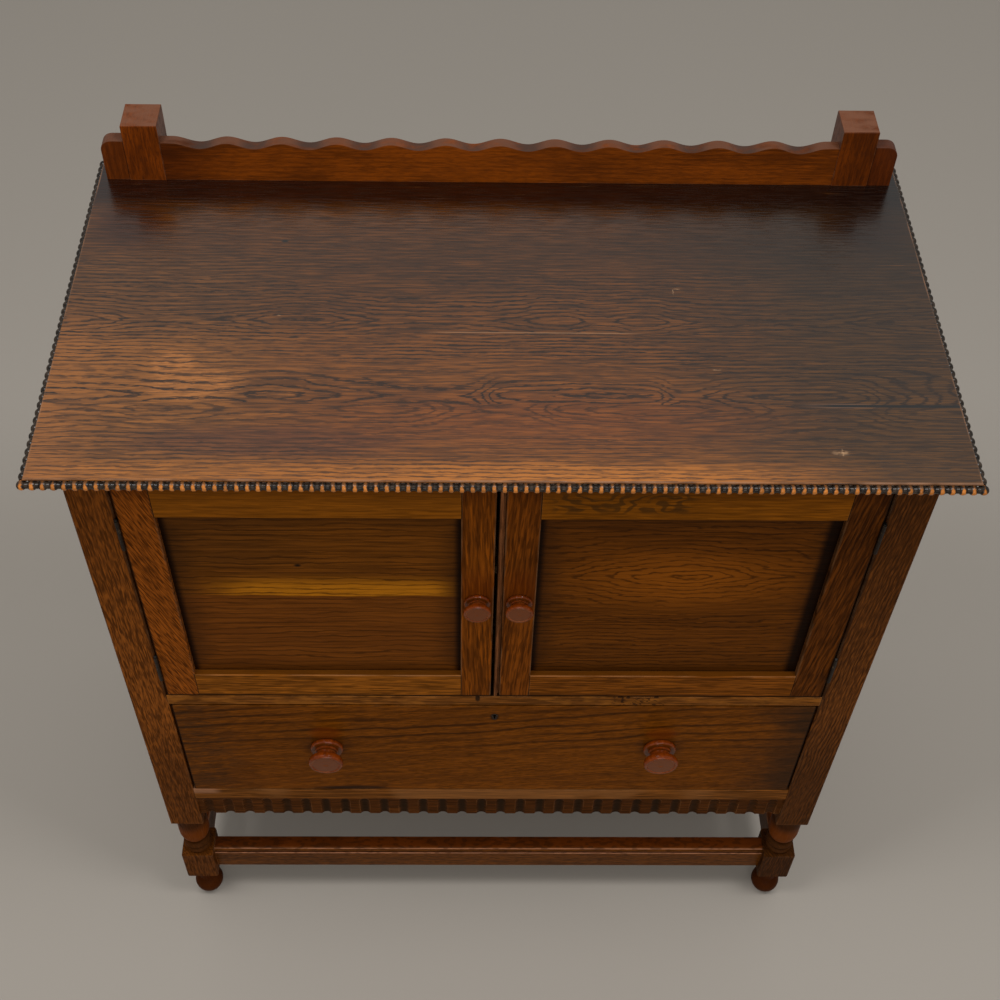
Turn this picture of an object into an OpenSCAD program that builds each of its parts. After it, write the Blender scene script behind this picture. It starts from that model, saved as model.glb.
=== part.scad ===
// Oak cupboard with two panelled doors over one long drawer, on turned legs
// tied by stretchers, with a bobbin moulding round the top and a wavy gallery.
// Millimetres. X runs across the front, -Y faces the user, +Z is up.
// The origin is at the middle of the overall box, on the floor.

/* [Top] */
// Width of the top boards
top_w = 950; // [800:10:1200]
// Depth of the top boards
top_d = 502; // [440:2:620]
// Thickness of the top boards
top_t = 20; // [16:1:28]
// Width of the front board of the top
front_board_w = 103.5; // [80:0.5:130]
// Width of the middle board of the top
middle_board_w = 104; // [80:0.5:130]

/* [Bobbin moulding] */
// Radius of one bead
bead_r = 5.25; // [4.5:0.05:6]
// How far the line of beads stands outside the arris of the top
bead_out = 1.6; // [1:0.1:2.5]
// Thickness of the lip of the top above the beads
lip = 2.6; // [2:0.1:4]

/* [Gallery] */
// Height of the gallery posts above the top
post_h = 78; // [62:1:110]
// Side of the square gallery posts
post_s = 42; // [30:1:50]
// Distance from the end of the top to the outer face of a post
post_set = 37.5; // [30:0.5:80]
// Mean height of the wavy edge above the top
wave_mean = 49.5; // [35:1:55]
// Height of the waves above and below their mean
wave_amp = 3.8; // [0:0.1:6]
// Distance from crest to crest
wave_pitch = 63.7; // [40:0.1:90]
// Thickness of the gallery board
gallery_t = 14; // [10:1:20]
// Thickness of the ears
ear_t = 16; // [10:1:20]
// Height of the ears at the ends of the gallery
ear_h = 55.5; // [40:1:60]
// Distance from the end of the top to the outer end of an ear
ear_set = 10; // [2:1:14]
// Radius of the outer top corner of an ear
ear_round = 13; // [4:1:16]

/* [Case] */
// How far the case sits inside the top at each side
side_set = 20; // [8:1:60]
// How far the front of the case sits behind the front of the top
front_set = 38; // [15:1:60]
// How far the back of the case sits inside the back of the top
rear_set = 6; // [0:1:20]
// Side of the square legs
leg_s = 46; // [40:1:60]
// Small chamfer on worn edges
ease = 1; // [0.5:0.1:2]

/* [Legs below the case] */
// Height of the turned foot
foot_h = 74; // [60:1:90]
// Height of the square block that takes the stretchers
block_h = 68; // [64:1:90]
// Height of the turned part above the block
turn_h = 105; // [90:1:130]
// How much smaller in radius the cup is than half the square
cup_in = 1; // [0:0.5:4]
// How much smaller in radius the ball foot is than half the square
foot_in = 2; // [0:0.5:4]

/* [Front] */
// Height from the floor to the underside of the bottom rail
rail_z = 324; // [310:1:380]
// Height of the bottom rail
bottom_rail_h = 27; // [22:1:40]
// Height of the drawer opening
drawer_open_h = 225; // [160:1:260]
// Height of the rail between the drawer and the doors
middle_rail_h = 20; // [18:1:35]
// Height of the door opening
door_open_h = 410; // [350:1:520]
// Height of the rail above the doors
top_rail_h = 40; // [30:1:60]
// Depth of the three front rails
rail_d = 46; // [34:1:46]
// Height of the fluted apron below the bottom rail
apron_h = 49; // [35:1:60]
// Thickness of the fluted apron
apron_t = 18; // [14:1:22]
// How far the apron sits behind the front of the case
apron_set = 3; // [0:0.5:6]
// Distance from flute to flute
flute_pitch = 27.2; // [22:0.1:34]
// Radius of the gouge that cut the flutes
flute_r = 9.5; // [5:0.5:11]
// Depth of a flute
flute_depth = 3; // [3:0.1:7]

/* [Stretchers] */
// Height of a stretcher
stretcher_h = 54; // [40:1:60]
// Distance from the top of a stretcher to the top of the square block
stretcher_down = 3; // [0:1:6]
// Thickness of a stretcher
stretcher_t = 20.5; // [14:0.5:24]
// Radius of the bead along the top edge of the front stretcher
stretcher_bead_r = 5.5; // [3:0.5:6]

/* [Side and back frames] */
// Thickness of the side rails and of the rear rails
frame_t = 20; // [16:1:24]
// Height of the upper side rails
side_top_h = 80; // [60:1:100]
// Height of the lower side rails
side_bottom_h = 76; // [60:1:90]
// How far the lower side rails reach below the bottom rail of the front
side_drop = 40; // [20:1:46]
// Height of the upper rear rail
rear_top_h = 60; // [40:1:80]
// Height of the lower rear rail
rear_bottom_h = 47; // [35:1:60]
// Thickness of the side panels
side_panel_t = 8; // [6:1:10]
// Thickness of the back panel
back_t = 6; // [4:1:9]
// Depth of the grooves that hold the side panels
groove_d = 8; // [5:1:10]
// Length of the tenons
tenon_l = 17; // [12:1:18]
// Thickness of the tenons
tenon_t = 10; // [8:1:12]

/* [Doors] */
// Thickness of the door frames
door_t = 20; // [18:1:24]
// Width of the stiles that carry the hinges
hinge_stile_w = 40; // [35:1:60]
// Width of the stiles that meet in the middle
meeting_stile_w = 37; // [34:1:60]
// Height of the upper door rails
door_top_rail_h = 49; // [40:1:70]
// Height of the lower door rails
door_bottom_rail_h = 47; // [40:1:70]
// Thickness of the door panels
door_panel_t = 6; // [5:1:8]
// How far a panel lies behind the face of its door
panel_set = 8; // [6:1:9]
// Gap round the doors
door_gap = 1.6; // [1.2:0.1:2.2]
// Gap between the two doors
meeting_gap = 3.4; // [2.4:0.1:5]
// Where the gap between the doors is, measured from the middle
meeting_x = -4.5; // [-20:0.5:20]
// Width of the bead on the closing edge of the right door
closing_bead_w = 5; // [4:0.5:8]
// Width of the quirk beside that bead
quirk_w = 2.5; // [1.5:0.5:4]
// Height of the door knobs above the middle of the doors
door_knob_rise = 2; // [-60:1:60]
// Radius of the face of a door knob
door_knob_r = 16; // [12:0.5:18]
// How far a door knob stands out
door_knob_out = 18.5; // [16:0.5:30]

/* [Hinges] */
// Length of a hinge
hinge_l = 50; // [38:1:64]
// Distance from the top of a door to the middle of its upper hinge
hinge_from_top = 76; // [50:1:110]
// Distance from the bottom of a door to the middle of its lower hinge
hinge_from_bottom = 65; // [50:1:110]
// Width of a hinge leaf inside the joint
leaf_w = 16; // [12:1:17]
// Thickness of a hinge leaf
leaf_t = 1.2; // [1:0.1:1.3]
// Radius of a knuckle
knuckle_r = 2.3; // [2:0.1:3]
// Radius of a hinge pin
pin_r = 1.1; // [0.8:0.1:1.2]

/* [Drawer] */
// Thickness of the drawer front
drawer_front_t = 22; // [20:1:26]
// Gap at each side of the drawer front
drawer_gap = 3; // [1.5:0.5:4]
// How far the drawer sides sit inside the ends of the drawer front
drawer_side_set = 1; // [0.5:0.1:2]
// Gap above the drawer front
drawer_top_gap = 3; // [2:0.5:4]
// Gap below the drawer front
drawer_bottom_gap = 1.5; // [1:0.5:3]
// Thickness of the drawer sides and back
drawer_side_t = 12; // [10:1:14]
// How much lower the drawer sides are than the front
drawer_side_drop = 7; // [4:1:14]
// Thickness of the drawer bottom
drawer_bottom_t = 6; // [5:1:8]
// Number of dovetails at each front corner
tail_count = 4; // [3:1:5]
// Length of the dovetails into the drawer front
tail_l = 14; // [10:1:16]
// Distance from the middle of the drawer to a knob
drawer_knob_x = 218; // [150:1:280]
// Height of the drawer knobs above the middle of the drawer front
drawer_knob_rise = 8; // [-40:1:40]
// Radius of the face of a drawer knob
drawer_knob_r = 22.5; // [17:0.5:24]
// How far a drawer knob stands out
drawer_knob_out = 28.5; // [22:0.5:34]
// Distance from the top edge of the drawer front to the round of the keyhole
keyhole_down = 23; // [20:1:34]
// Radius of the round of the keyhole
keyhole_r = 2.7; // [2:0.1:3.2]
// Length of the slot below the round
keyhole_slot = 8; // [5:0.5:10]

/* [Inside] */
// Thickness of the cupboard floor
floor_t = 12; // [9:1:16]
// Height of the bearers under the cupboard floor
floor_bearer_h = 12; // [8:1:14]
// Thickness of the shelf
shelf_t = 14; // [10:1:20]
// Height of the shelf above the cupboard floor
shelf_rise = 204; // [120:1:260]
// Height of the bearers under the shelf
bearer_h = 18; // [12:1:24]
// Width of a drawer runner under the drawer side
runner_w = 15; // [12:1:20]
// Height of a drawer runner
runner_h = 20; // [14:1:24]
// How far the drawer guides rise above the runners
guide_h = 20; // [12:1:40]

/* [Clearances] */
// Glue gap round tenons and panels
fit = 0.15; // [0.1:0.05:0.3]
// Running clearance of the drawer on its runners
run_gap = 0.3; // [0.25:0.05:0.6]
// Clearance between the drawer sides and their guides
guide_gap = 1; // [0.5:0.1:1.5]
// Clearance between the moving parts of the hinges and the lock
metal_gap = 0.2; // [0.15:0.05:0.25]
// Radial clearance of a hinge pin in its knuckles
pin_gap = 0.08; // [0.04:0.02:0.1]

/* [Hidden] */

// Finishes
dark_oak = [0.28, 0.17, 0.11];
frame_oak = [0.40, 0.24, 0.12];
door_oak = [0.42, 0.25, 0.10];
panel_oak = [0.36, 0.20, 0.08];
gallery_oak = [0.37, 0.17, 0.06];
inner_oak = [0.55, 0.40, 0.24];
knob_wood = [0.45, 0.20, 0.10];
ebonised = [0.13, 0.10, 0.08];
old_brass = [0.36, 0.28, 0.15];
steel = [0.42, 0.41, 0.40];

// Planes of the top and the case
case_w = top_w - 2 * side_set;
bead_reach = bead_out + bead_r;
y_top = -(top_d - bead_reach) / 2;
y_back_top = y_top + top_d;
x_top = top_w / 2;
yf = y_top + front_set;
yb = y_back_top - rear_set;
xo = case_w / 2;
xi = xo - leg_s;

// Heights, from the floor up
block_top = foot_h + block_h;
turn_top = block_top + turn_h;
bottom_rail_top = rail_z + bottom_rail_h;
middle_rail_z = bottom_rail_top + drawer_open_h;
door_open_z = middle_rail_z + middle_rail_h;
top_rail_z = door_open_z + door_open_h;
case_top = top_rail_z + top_rail_h;
top_h = case_top + top_t;
apron_z = rail_z - apron_h;
side_bottom_z = rail_z - side_drop;

// The side frames stand outside the middle of the legs, so that their tenons
// pass those of the front and back rails
side_out = 8;
side_x = xo - leg_s / 2 + side_out;
front_tenon_in = 12;
front_tenon_y = yf + front_tenon_in;
rear_rail_y = yb - back_t - frame_t;
leg_mid_y = yf + leg_s / 2;

// Doors
door_z0 = door_open_z + door_gap;
door_z1 = top_rail_z - door_gap;
left_x0 = -xi + door_gap;
left_x1 = meeting_x - meeting_gap / 2;
right_x0 = meeting_x + meeting_gap / 2;
right_x1 = xi - door_gap;
right_stile_x0 = right_x0 + closing_bead_w + quirk_w;
upper_hinge_z = door_z1 - hinge_from_top;
lower_hinge_z = door_z0 + hinge_from_bottom;
hinge_y = yf - knuckle_r - metal_gap;
hinge_x = xi - door_gap / 2;
knob_z = (door_z0 + door_z1) / 2 + door_knob_rise;
panel_tongue = groove_d - 1;

// Drawer
drawer_x = xi - drawer_gap;
drawer_z0 = bottom_rail_top + drawer_bottom_gap;
drawer_z1 = middle_rail_z - drawer_top_gap;
drawer_side_z0 = bottom_rail_top + run_gap;
drawer_side_z1 = drawer_z1 - drawer_side_drop;
drawer_back_y = rear_rail_y - run_gap;
drawer_side_x = drawer_x - drawer_side_set;
drawer_bottom_up = 15;
drawer_bottom_z = drawer_side_z0 + drawer_bottom_up;
drawer_groove = 6;
drawer_knob_z = (drawer_z0 + drawer_z1) / 2 + drawer_knob_rise;
keyhole_z = drawer_z1 - keyhole_down;

// Lock: a box let into the back of the drawer front
lock_w = 50;
lock_t = 10;
lock_below = 16;
bolt_w = 18;
bolt_t = 5;
bolt_travel = 9;
bolt_tip = drawer_z1 - 0.5;
bolt_mortise = bolt_travel + 3;
bolt_tail_w = bolt_w + 12;
bolt_tail_h = 4;
key_pin_r = 0.9;
lock_y0 = yf + drawer_front_t - lock_t;
bolt_y = lock_y0 + lock_t / 2;

// Inside
floor_top = door_open_z;
shelf_z = floor_top + shelf_rise;
side_inner_x = side_x - side_panel_t / 2;

// Basic solids: a box between three pairs of limits, and bars with an outline
module block(x, y, z)
    translate([x[0], y[0], z[0]]) cube([x[1] - x[0], y[1] - y[0], z[1] - z[0]]);
module along_x(x, outline)
    translate([x[0], 0, 0]) rotate([90, 0, 90]) linear_extrude(x[1] - x[0]) polygon(outline);
module along_y(y, outline)
    translate([0, y[1], 0]) rotate([90, 0, 0]) linear_extrude(y[1] - y[0]) polygon(outline);
module along_z(z, outline)
    translate([0, 0, z[0]]) linear_extrude(z[1] - z[0]) polygon(outline);
// A span of length t round the value a
function middle_of(a, t) = [a - t / 2, a + t / 2];
module both_sides() {
    children();
    mirror([1, 0, 0]) children();
}

// A rectangle with its four corners chamfered
function eased(a, b, e = ease) = [
    [a[0] + e, b[0]], [a[1] - e, b[0]], [a[1], b[0] + e], [a[1], b[1] - e],
    [a[1] - e, b[1]], [a[0] + e, b[1]], [a[0], b[1] - e], [a[0], b[0] + e]];
// Points on an arc with radii rx and ry round a centre
function arc(cx, cy, rx, ry, a0, a1, n = 8) =
    [for (i = [0 : n]) let (a = a0 + (a1 - a0) * i / n) [cx + rx * cos(a), cy + ry * sin(a)]];

// Top boards, glued edge to edge. The lip over the moulding is what is left
// above the rebate along the front and the sides.
bead_back = bead_r + 0.05;
bead_z = top_h - lip - bead_back;
rebate_d = bead_back - bead_out;
seam_1 = y_top + front_board_w;
seam_2 = seam_1 + middle_board_w;
module side_rebates()
    both_sides() block([-x_top - 1, -x_top + rebate_d], [y_top - 1, y_back_top + 1],
        [case_top - 1, top_h - lip]);
module top_board(y)
    difference() {
        along_y(y, [[-x_top, case_top], [x_top, case_top], [x_top, top_h - ease],
            [x_top - ease, top_h], [-x_top + ease, top_h], [-x_top, top_h - ease]]);
        side_rebates();
    }
module top_board_front()
    color(dark_oak) difference() {
        top_board([y_top, seam_1]);
        block([-x_top - 1, x_top + 1], [y_top - 1, y_top + rebate_d], [case_top - 1, top_h - lip]);
        // worn front arris
        translate([0, y_top, top_h]) rotate([45, 0, 0])
            cube([top_w + 2, ease * sqrt(2), ease * sqrt(2)], center = true);
    }
module top_board_middle() color(dark_oak) top_board([seam_1, seam_2]);
module top_board_rear() color(dark_oak) top_board([seam_2, y_back_top]);

// Bobbin moulding: each length is turned in one piece, beads on a round core,
// and glued into the rebate. The front length carries both corner beads.
bead_x = x_top + bead_out;
bead_y = y_top - bead_out;
bead_steps = floor(2 * bead_x / (2 * bead_r + 0.06));
bead_pitch = 2 * bead_x / bead_steps;
bead_core = 0.68;
core_angle = asin(bead_core);
side_beads = floor((top_d + bead_out - bead_r) / bead_pitch);
// Half profile of one bead between two angles from its axis
function bead_arc(i, from, to) =
    [for (k = [0 : 6]) let (a = from + (to - from) * k / 6)
        [bead_r * sin(a), i * bead_pitch - bead_r * cos(a)]];
function bead_row(first, last) =
    [for (i = [first : last]) each bead_arc(i, core_angle, 180 - core_angle)];
module turned_row(outline) rotate([0, 90, 0]) rotate_extrude($fn = 32) polygon(outline);
module bead_moulding_front()
    color(ebonised) translate([-bead_x, bead_y, bead_z]) turned_row(concat(
        bead_arc(0, 0, 180 - core_angle), bead_row(1, bead_steps - 1),
        bead_arc(bead_steps, core_angle, 180)));
module side_moulding() {
    start = bead_back + 0.05;
    translate([-bead_x, bead_y, bead_z]) rotate([0, 0, 90]) turned_row(concat(
        [[0, start], [bead_r * bead_core, start]], bead_row(1, side_beads - 1),
        bead_arc(side_beads, core_angle, 180)));
}
module bead_moulding_left() color(ebonised) side_moulding();
module bead_moulding_right() color(ebonised) mirror([1, 0, 0]) side_moulding();

// Gallery: a board with a wavy top edge between two posts, and a rounded ear
// outside each post
gallery_y = y_back_top - 1 - post_s;
gallery_shy = 1;
function behind_posts(t) = [gallery_y + gallery_shy, gallery_y + gallery_shy + t];
post_out = x_top - post_set;
post_in = post_out - post_s;
ear_end = x_top - ear_set;
// Beyond the last crests the edge runs level to the posts
last_crest = floor(post_in / wave_pitch) * wave_pitch;
function wave(x) = top_h + wave_mean + wave_amp * cos(360 * min(abs(x), last_crest) / wave_pitch);
wave_cuts = 240;
module gallery_board()
    color(gallery_oak) along_y(behind_posts(gallery_t), concat(
        [[-post_in, top_h], [post_in, top_h]],
        [for (i = [0 : wave_cuts]) let (x = post_in * (1 - 2 * i / wave_cuts)) [x, wave(x)]]));
module gallery_ears()
    color(gallery_oak) both_sides() along_y(behind_posts(ear_t), concat(
        [[post_out, top_h], [ear_end, top_h]],
        arc(ear_end - ear_round, top_h + ear_h - ear_round, ear_round, ear_round, 0, 90),
        [[post_out, top_h + ear_h]]));
// A post is squared up with its four upper edges worn to a low slope
function worn_top(a, drop = ease, run = ease / 2) = [[a[0], top_h], [a[1], top_h],
    [a[1], top_h + post_h - drop], [a[1] - run, top_h + post_h],
    [a[0] + run, top_h + post_h], [a[0], top_h + post_h - drop]];
module gallery_posts()
    color(gallery_oak) both_sides() intersection() {
        along_y([gallery_y, gallery_y + post_s], worn_top([post_in, post_out]));
        along_x([post_in - 1, post_out + 1], worn_top([gallery_y, gallery_y + post_s]));
    }

// Legs: square above, then a turned cup and two rings, a square block for the
// stretchers, and a ball foot
module turned(outline) rotate_extrude($fn = 64) polygon(outline);
cup_r = leg_s / 2 - cup_in;
ring_r = cup_r * 0.89;
ring_h = turn_h * 0.12;
ring_round = ring_h / 2;
cup_turn = 72;
cup_mid = turn_top - turn_h * 0.476;
cup_drop = turn_h * 0.267 / sin(cup_turn);
function ring(mid) = arc(ring_r - ring_round, mid, ring_round, ring_h * 0.46, -80, 80);
function cup_outline() = concat(
    [[0, block_top], [ring_r - ring_round, block_top]],
    ring(block_top + ring_h * 0.5),
    [[ring_r - ring_round, block_top + ring_h * 1.07]],
    ring(block_top + ring_h * 1.63),
    [for (i = [0 : 10]) let (a = cup_turn * (1 - i / 10))
        [cup_r * (0.2 + 0.8 * cos(a)), cup_mid - cup_drop * sin(a)]],
    [[cup_r * 0.985, turn_top - turn_h * 0.2], [cup_r * 0.935, turn_top], [0, turn_top]]);
// The ball stands on a small flat, and a cove joins its neck to the square
foot_r = leg_s / 2 - foot_in;
foot_mid = foot_r * 0.94;
foot_neck_r = foot_r * 0.62;
foot_cove = foot_h * 0.08;
function foot_outline() = concat(
    [[0, 0]],
    arc(0, foot_mid, foot_r, foot_r, -asin(foot_mid / foot_r), 50, 12),
    [[foot_neck_r, foot_mid + foot_r * 0.82], [foot_neck_r, foot_h - foot_cove * 2]],
    arc(foot_neck_r + foot_cove, foot_h - foot_cove * 1.3, foot_cove, foot_cove, 180, 110, 5),
    [[foot_neck_r + foot_cove, foot_h], [0, foot_h]]);
module leg_blank(x, y)
    translate([x, y, 0]) {
        half = [-leg_s / 2, leg_s / 2];
        turned(foot_outline());
        along_z([foot_h, block_top], eased(half, half, 2 * ease));
        turned(cup_outline());
        along_z([turn_top, case_top], eased(half, half));
    }

// Tenons of a rail that runs along X between the legs, or along Y
module tenons_x(y, z, len = tenon_l, clear = 0)
    both_sides() block([-xi - len - clear, -xi + 1],
        [y[0] - clear, y[1] + clear], [z[0] - clear, z[1] + clear]);
module tenons_y(x, z, len = tenon_l, clear = 0)
    block([x[0] - clear, x[1] + clear],
        [yf + leg_s - len - clear, yb - leg_s + len + clear], [z[0] - clear, z[1] + clear]);
module rail_x(y, z, tenon_y, tenon_z, len = tenon_l) {
    along_x([-xi, xi], eased(y, z));
    tenons_x(tenon_y, tenon_z, len);
}
module rail_y(x, z, tenon_x, tenon_z, len = tenon_l) {
    along_y([yf + leg_s, yb - leg_s], eased(x, z));
    tenons_y(tenon_x, tenon_z, len);
}

// Where each tenon lies. A shoulder is left above and below it.
shoulder = 0.18;
side_tenon_t = 8;
stretcher_tenon_l = 14;
stretcher_tenon_t = 8;
function tenon_in(z) = [z[0] + shoulder * (z[1] - z[0]), z[1] - shoulder * (z[1] - z[0])];
front_tenon = [front_tenon_y, front_tenon_y + tenon_t];
rear_tenon = middle_of(rear_rail_y + frame_t / 2, tenon_t);
side_tenon = middle_of(side_x, side_tenon_t);
top_rail_tenon_z = tenon_in([top_rail_z, case_top]);
middle_tenon_z = tenon_in([middle_rail_z, door_open_z]);
bottom_tenon_z = tenon_in([rail_z, bottom_rail_top]);
rear_top_tenon_z = tenon_in([case_top - rear_top_h, case_top]);
rear_bottom_tenon_z = tenon_in([rail_z, rail_z + rear_bottom_h]);
side_panel_z = [side_bottom_z + side_bottom_h, case_top - side_top_h];
side_top_tenon_z = tenon_in([side_panel_z[1] + groove_d, case_top]);
side_bottom_tenon_z = tenon_in([side_bottom_z, side_panel_z[0] - groove_d]);
stretcher_z = [block_top - stretcher_down - stretcher_h, block_top - stretcher_down];
stretcher_tenon_z = tenon_in([stretcher_z[0], stretcher_z[1] - stretcher_bead_r]);

module leg_joints() {
    for (z = [top_rail_tenon_z, middle_tenon_z, bottom_tenon_z])
        tenons_x(front_tenon, z, clear = fit);
    for (z = [rear_top_tenon_z, rear_bottom_tenon_z])
        tenons_x(rear_tenon, z, clear = fit);
    both_sides() {
        for (z = [side_top_tenon_z, side_bottom_tenon_z])
            tenons_y([-side_tenon[1], -side_tenon[0]], z, clear = fit);
        tenons_y(middle_of(-xo + leg_s / 2, stretcher_tenon_t), stretcher_tenon_z, stretcher_tenon_l, fit);
        // groove for the side panel
        block([-side_x - side_panel_t / 2 - fit, -side_x + side_panel_t / 2 + fit],
            [yf + leg_s - groove_d, yb - leg_s + groove_d],
            [side_panel_z[0] - groove_d, side_panel_z[1] + groove_d]);
    }
    for (y = [leg_mid_y, yb - leg_s / 2])
        tenons_x(middle_of(y, stretcher_tenon_t), stretcher_tenon_z, stretcher_tenon_l, fit);
}
module leg(sx, sy)
    color(frame_oak) difference() {
        leg_blank(sx * (xo - leg_s / 2), sy < 0 ? leg_mid_y : yb - leg_s / 2);
        leg_joints();
        // shallow seats for the hinge leaves
        if (sy < 0) hinge_seats(frame_side = true);
        // rebate for the back panel
        if (sy > 0) block([-xi - back_lap, xi + back_lap], [yb - back_t, yb + 1], [rail_z, case_top + 1]);
    }
module front_left_leg() leg(-1, -1);
module front_right_leg() leg(1, -1);
module rear_left_leg() leg(-1, 1);
module rear_right_leg() leg(1, 1);

// Side frames: two rails and a panel in grooves
side_rail_x = [side_x - frame_t / 2, side_x + frame_t / 2];
module side_rail(z, tenon_z, groove_z)
    difference() {
        rail_y(side_rail_x, z, side_tenon, tenon_z);
        block([side_x - side_panel_t / 2 - fit, side_x + side_panel_t / 2 + fit],
            [yf + leg_s - 1, yb - leg_s + 1], groove_z);
    }
module side_top_rail()
    side_rail([side_panel_z[1], case_top], side_top_tenon_z,
        [side_panel_z[1] - 1, side_panel_z[1] + groove_d]);
module side_bottom_rail()
    side_rail([side_bottom_z, side_panel_z[0]], side_bottom_tenon_z,
        [side_panel_z[0] - groove_d, side_panel_z[0] + 1]);
module side_panel()
    block([side_x - side_panel_t / 2, side_x + side_panel_t / 2],
        [yf + leg_s - panel_tongue, yb - leg_s + panel_tongue],
        [side_panel_z[0] - groove_d, side_panel_z[1] + panel_tongue]);
module right_top_rail() color(frame_oak) side_top_rail();
module right_bottom_rail() color(frame_oak) side_bottom_rail();
module right_side_panel() color(panel_oak) side_panel();
module left_top_rail() color(frame_oak) mirror([1, 0, 0]) side_top_rail();
module left_bottom_rail() color(frame_oak) mirror([1, 0, 0]) side_bottom_rail();
module left_side_panel() color(panel_oak) mirror([1, 0, 0]) side_panel();

// Back: two rails, with a thin panel planted behind them
back_lap = 5;
module rear_top_rail()
    color(inner_oak) rail_x([rear_rail_y, yb - back_t], [case_top - rear_top_h, case_top],
        rear_tenon, rear_top_tenon_z);
module rear_bottom_rail()
    color(inner_oak) rail_x([rear_rail_y, yb - back_t], [rail_z, rail_z + rear_bottom_h],
        rear_tenon, rear_bottom_tenon_z);
module rear_panel()
    color(inner_oak) block([-xi - back_lap + fit, xi + back_lap - fit], [yb - back_t, yb],
        [rail_z, case_top]);

// Front rails
front_rail_y = [yf, yf + rail_d];
module front_top_rail()
    color(frame_oak) rail_x(front_rail_y, [top_rail_z, case_top], front_tenon, top_rail_tenon_z);
module middle_rail()
    color(frame_oak) difference() {
        rail_x(front_rail_y, [middle_rail_z, door_open_z], front_tenon, middle_tenon_z);
        // mortise that the lock bolt shoots into
        block(middle_of(0, bolt_w + 2), [bolt_y - bolt_t / 2 - 1, bolt_y + bolt_t / 2 + 1],
            [middle_rail_z - 1, middle_rail_z + bolt_mortise]);
    }
module bottom_rail()
    color(frame_oak) rail_x(front_rail_y, [rail_z, bottom_rail_top], front_tenon, bottom_tenon_z);

// Apron: a board with upright flutes, round at the top and open below
flute_count = 2 * floor((xi - flute_r) / flute_pitch + 0.5);
// Height of plain wood above the flutes, and half the width of a flute
flute_start = 5;
flute_half = sqrt(flute_r * flute_r - pow(flute_r - flute_depth, 2));
flute_top = rail_z - flute_start - flute_half;
apron_y = [yf + apron_set, yf + apron_set + apron_t];
module fluted_apron()
    color(frame_oak) difference() {
        block([-xi, xi], apron_y, [apron_z, rail_z]);
        for (i = [0 : flute_count - 1])
            translate([(i - (flute_count - 1) / 2) * flute_pitch,
                apron_y[0] + flute_depth - flute_r, apron_z - 1]) {
                cylinder(r = flute_r, h = flute_top - apron_z + 1, $fn = 32);
                translate([0, 0, flute_top - apron_z + 1]) sphere(r = flute_r, $fn = 32);
            }
    }

// Stretchers, set in the middle of the square blocks. The front one has a
// bead and a quirk along its upper front edge.
front_stretcher_y = middle_of(leg_mid_y, stretcher_t);
module front_stretcher()
    color(frame_oak) {
        y0 = front_stretcher_y[0];
        y1 = front_stretcher_y[1];
        z1 = stretcher_z[1];
        r = stretcher_bead_r;
        along_x([-xi, xi], concat(
            [[y0 + ease, stretcher_z[0]], [y1, stretcher_z[0]], [y1, z1], [y0 + r, z1]],
            arc(y0 + r, z1 - r, r, r, 90, 250, 10),
            [[y0 + r * 0.85, z1 - r * 2.2], [y0 + r * 0.2, z1 - r * 2.25],
             [y0, z1 - r * 2.45], [y0, stretcher_z[0] + ease]]));
        tenons_x(middle_of(leg_mid_y, stretcher_tenon_t), stretcher_tenon_z, stretcher_tenon_l);
    }
module rear_stretcher()
    color(frame_oak) rail_x(middle_of(yb - leg_s / 2, stretcher_t), stretcher_z,
        middle_of(yb - leg_s / 2, stretcher_tenon_t), stretcher_tenon_z, stretcher_tenon_l);
module side_stretcher()
    rail_y(middle_of(xo - leg_s / 2, stretcher_t), stretcher_z,
        middle_of(xo - leg_s / 2, stretcher_tenon_t), stretcher_tenon_z, stretcher_tenon_l);
module right_stretcher() color(frame_oak) side_stretcher();
module left_stretcher() color(frame_oak) mirror([1, 0, 0]) side_stretcher();

// Inside the case. Boards are notched round the legs.
leg_clear = 0.3;
shelf_in = 22;
stop_l = 60;
stop_w = 20;
stop_h = 12;
module inside_board(z, y0)
    union() {
        block([-xi + leg_clear, xi - leg_clear], [y0, rear_rail_y + frame_t - leg_clear], z);
        block([-side_inner_x + leg_clear, side_inner_x - leg_clear],
            [yf + leg_s + leg_clear, yb - leg_s - leg_clear], z);
    }
module cupboard_floor()
    color(inner_oak) inside_board([floor_top - floor_t, floor_top], yf + rail_d);
module shelf()
    color(inner_oak) inside_board([shelf_z, shelf_z + shelf_t], yf + door_t + shelf_in);
module bearer(z)
    block([xi - runner_w, side_inner_x - leg_clear], [yf + leg_s, yb - leg_s], z);
module shelf_bearers()
    color(inner_oak) both_sides() {
        bearer([floor_top - floor_t - floor_bearer_h, floor_top - floor_t]);
        bearer([shelf_z - bearer_h, shelf_z]);
    }
// Runner and guide in one: the drawer side slides on the step, beside the guide
module drawer_runners()
    color(inner_oak) both_sides() union() {
        z = [bottom_rail_top - runner_h, bottom_rail_top];
        block([xi - runner_w, xi - leg_clear], [yf + rail_d, rear_rail_y], z);
        block([xi - 1, side_rail_x[0]], [yf + leg_s, yb - leg_s], z);
        block([drawer_side_x + guide_gap, side_rail_x[0]], [yf + leg_s, yb - leg_s],
            [z[0], z[1] + guide_h]);
    }
module door_stops()
    color(inner_oak) both_sides()
        block(middle_of(xi / 2, stop_l), [yf + door_t + run_gap, yf + door_t + run_gap + stop_w],
            [top_rail_z - stop_h, top_rail_z]);

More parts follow.
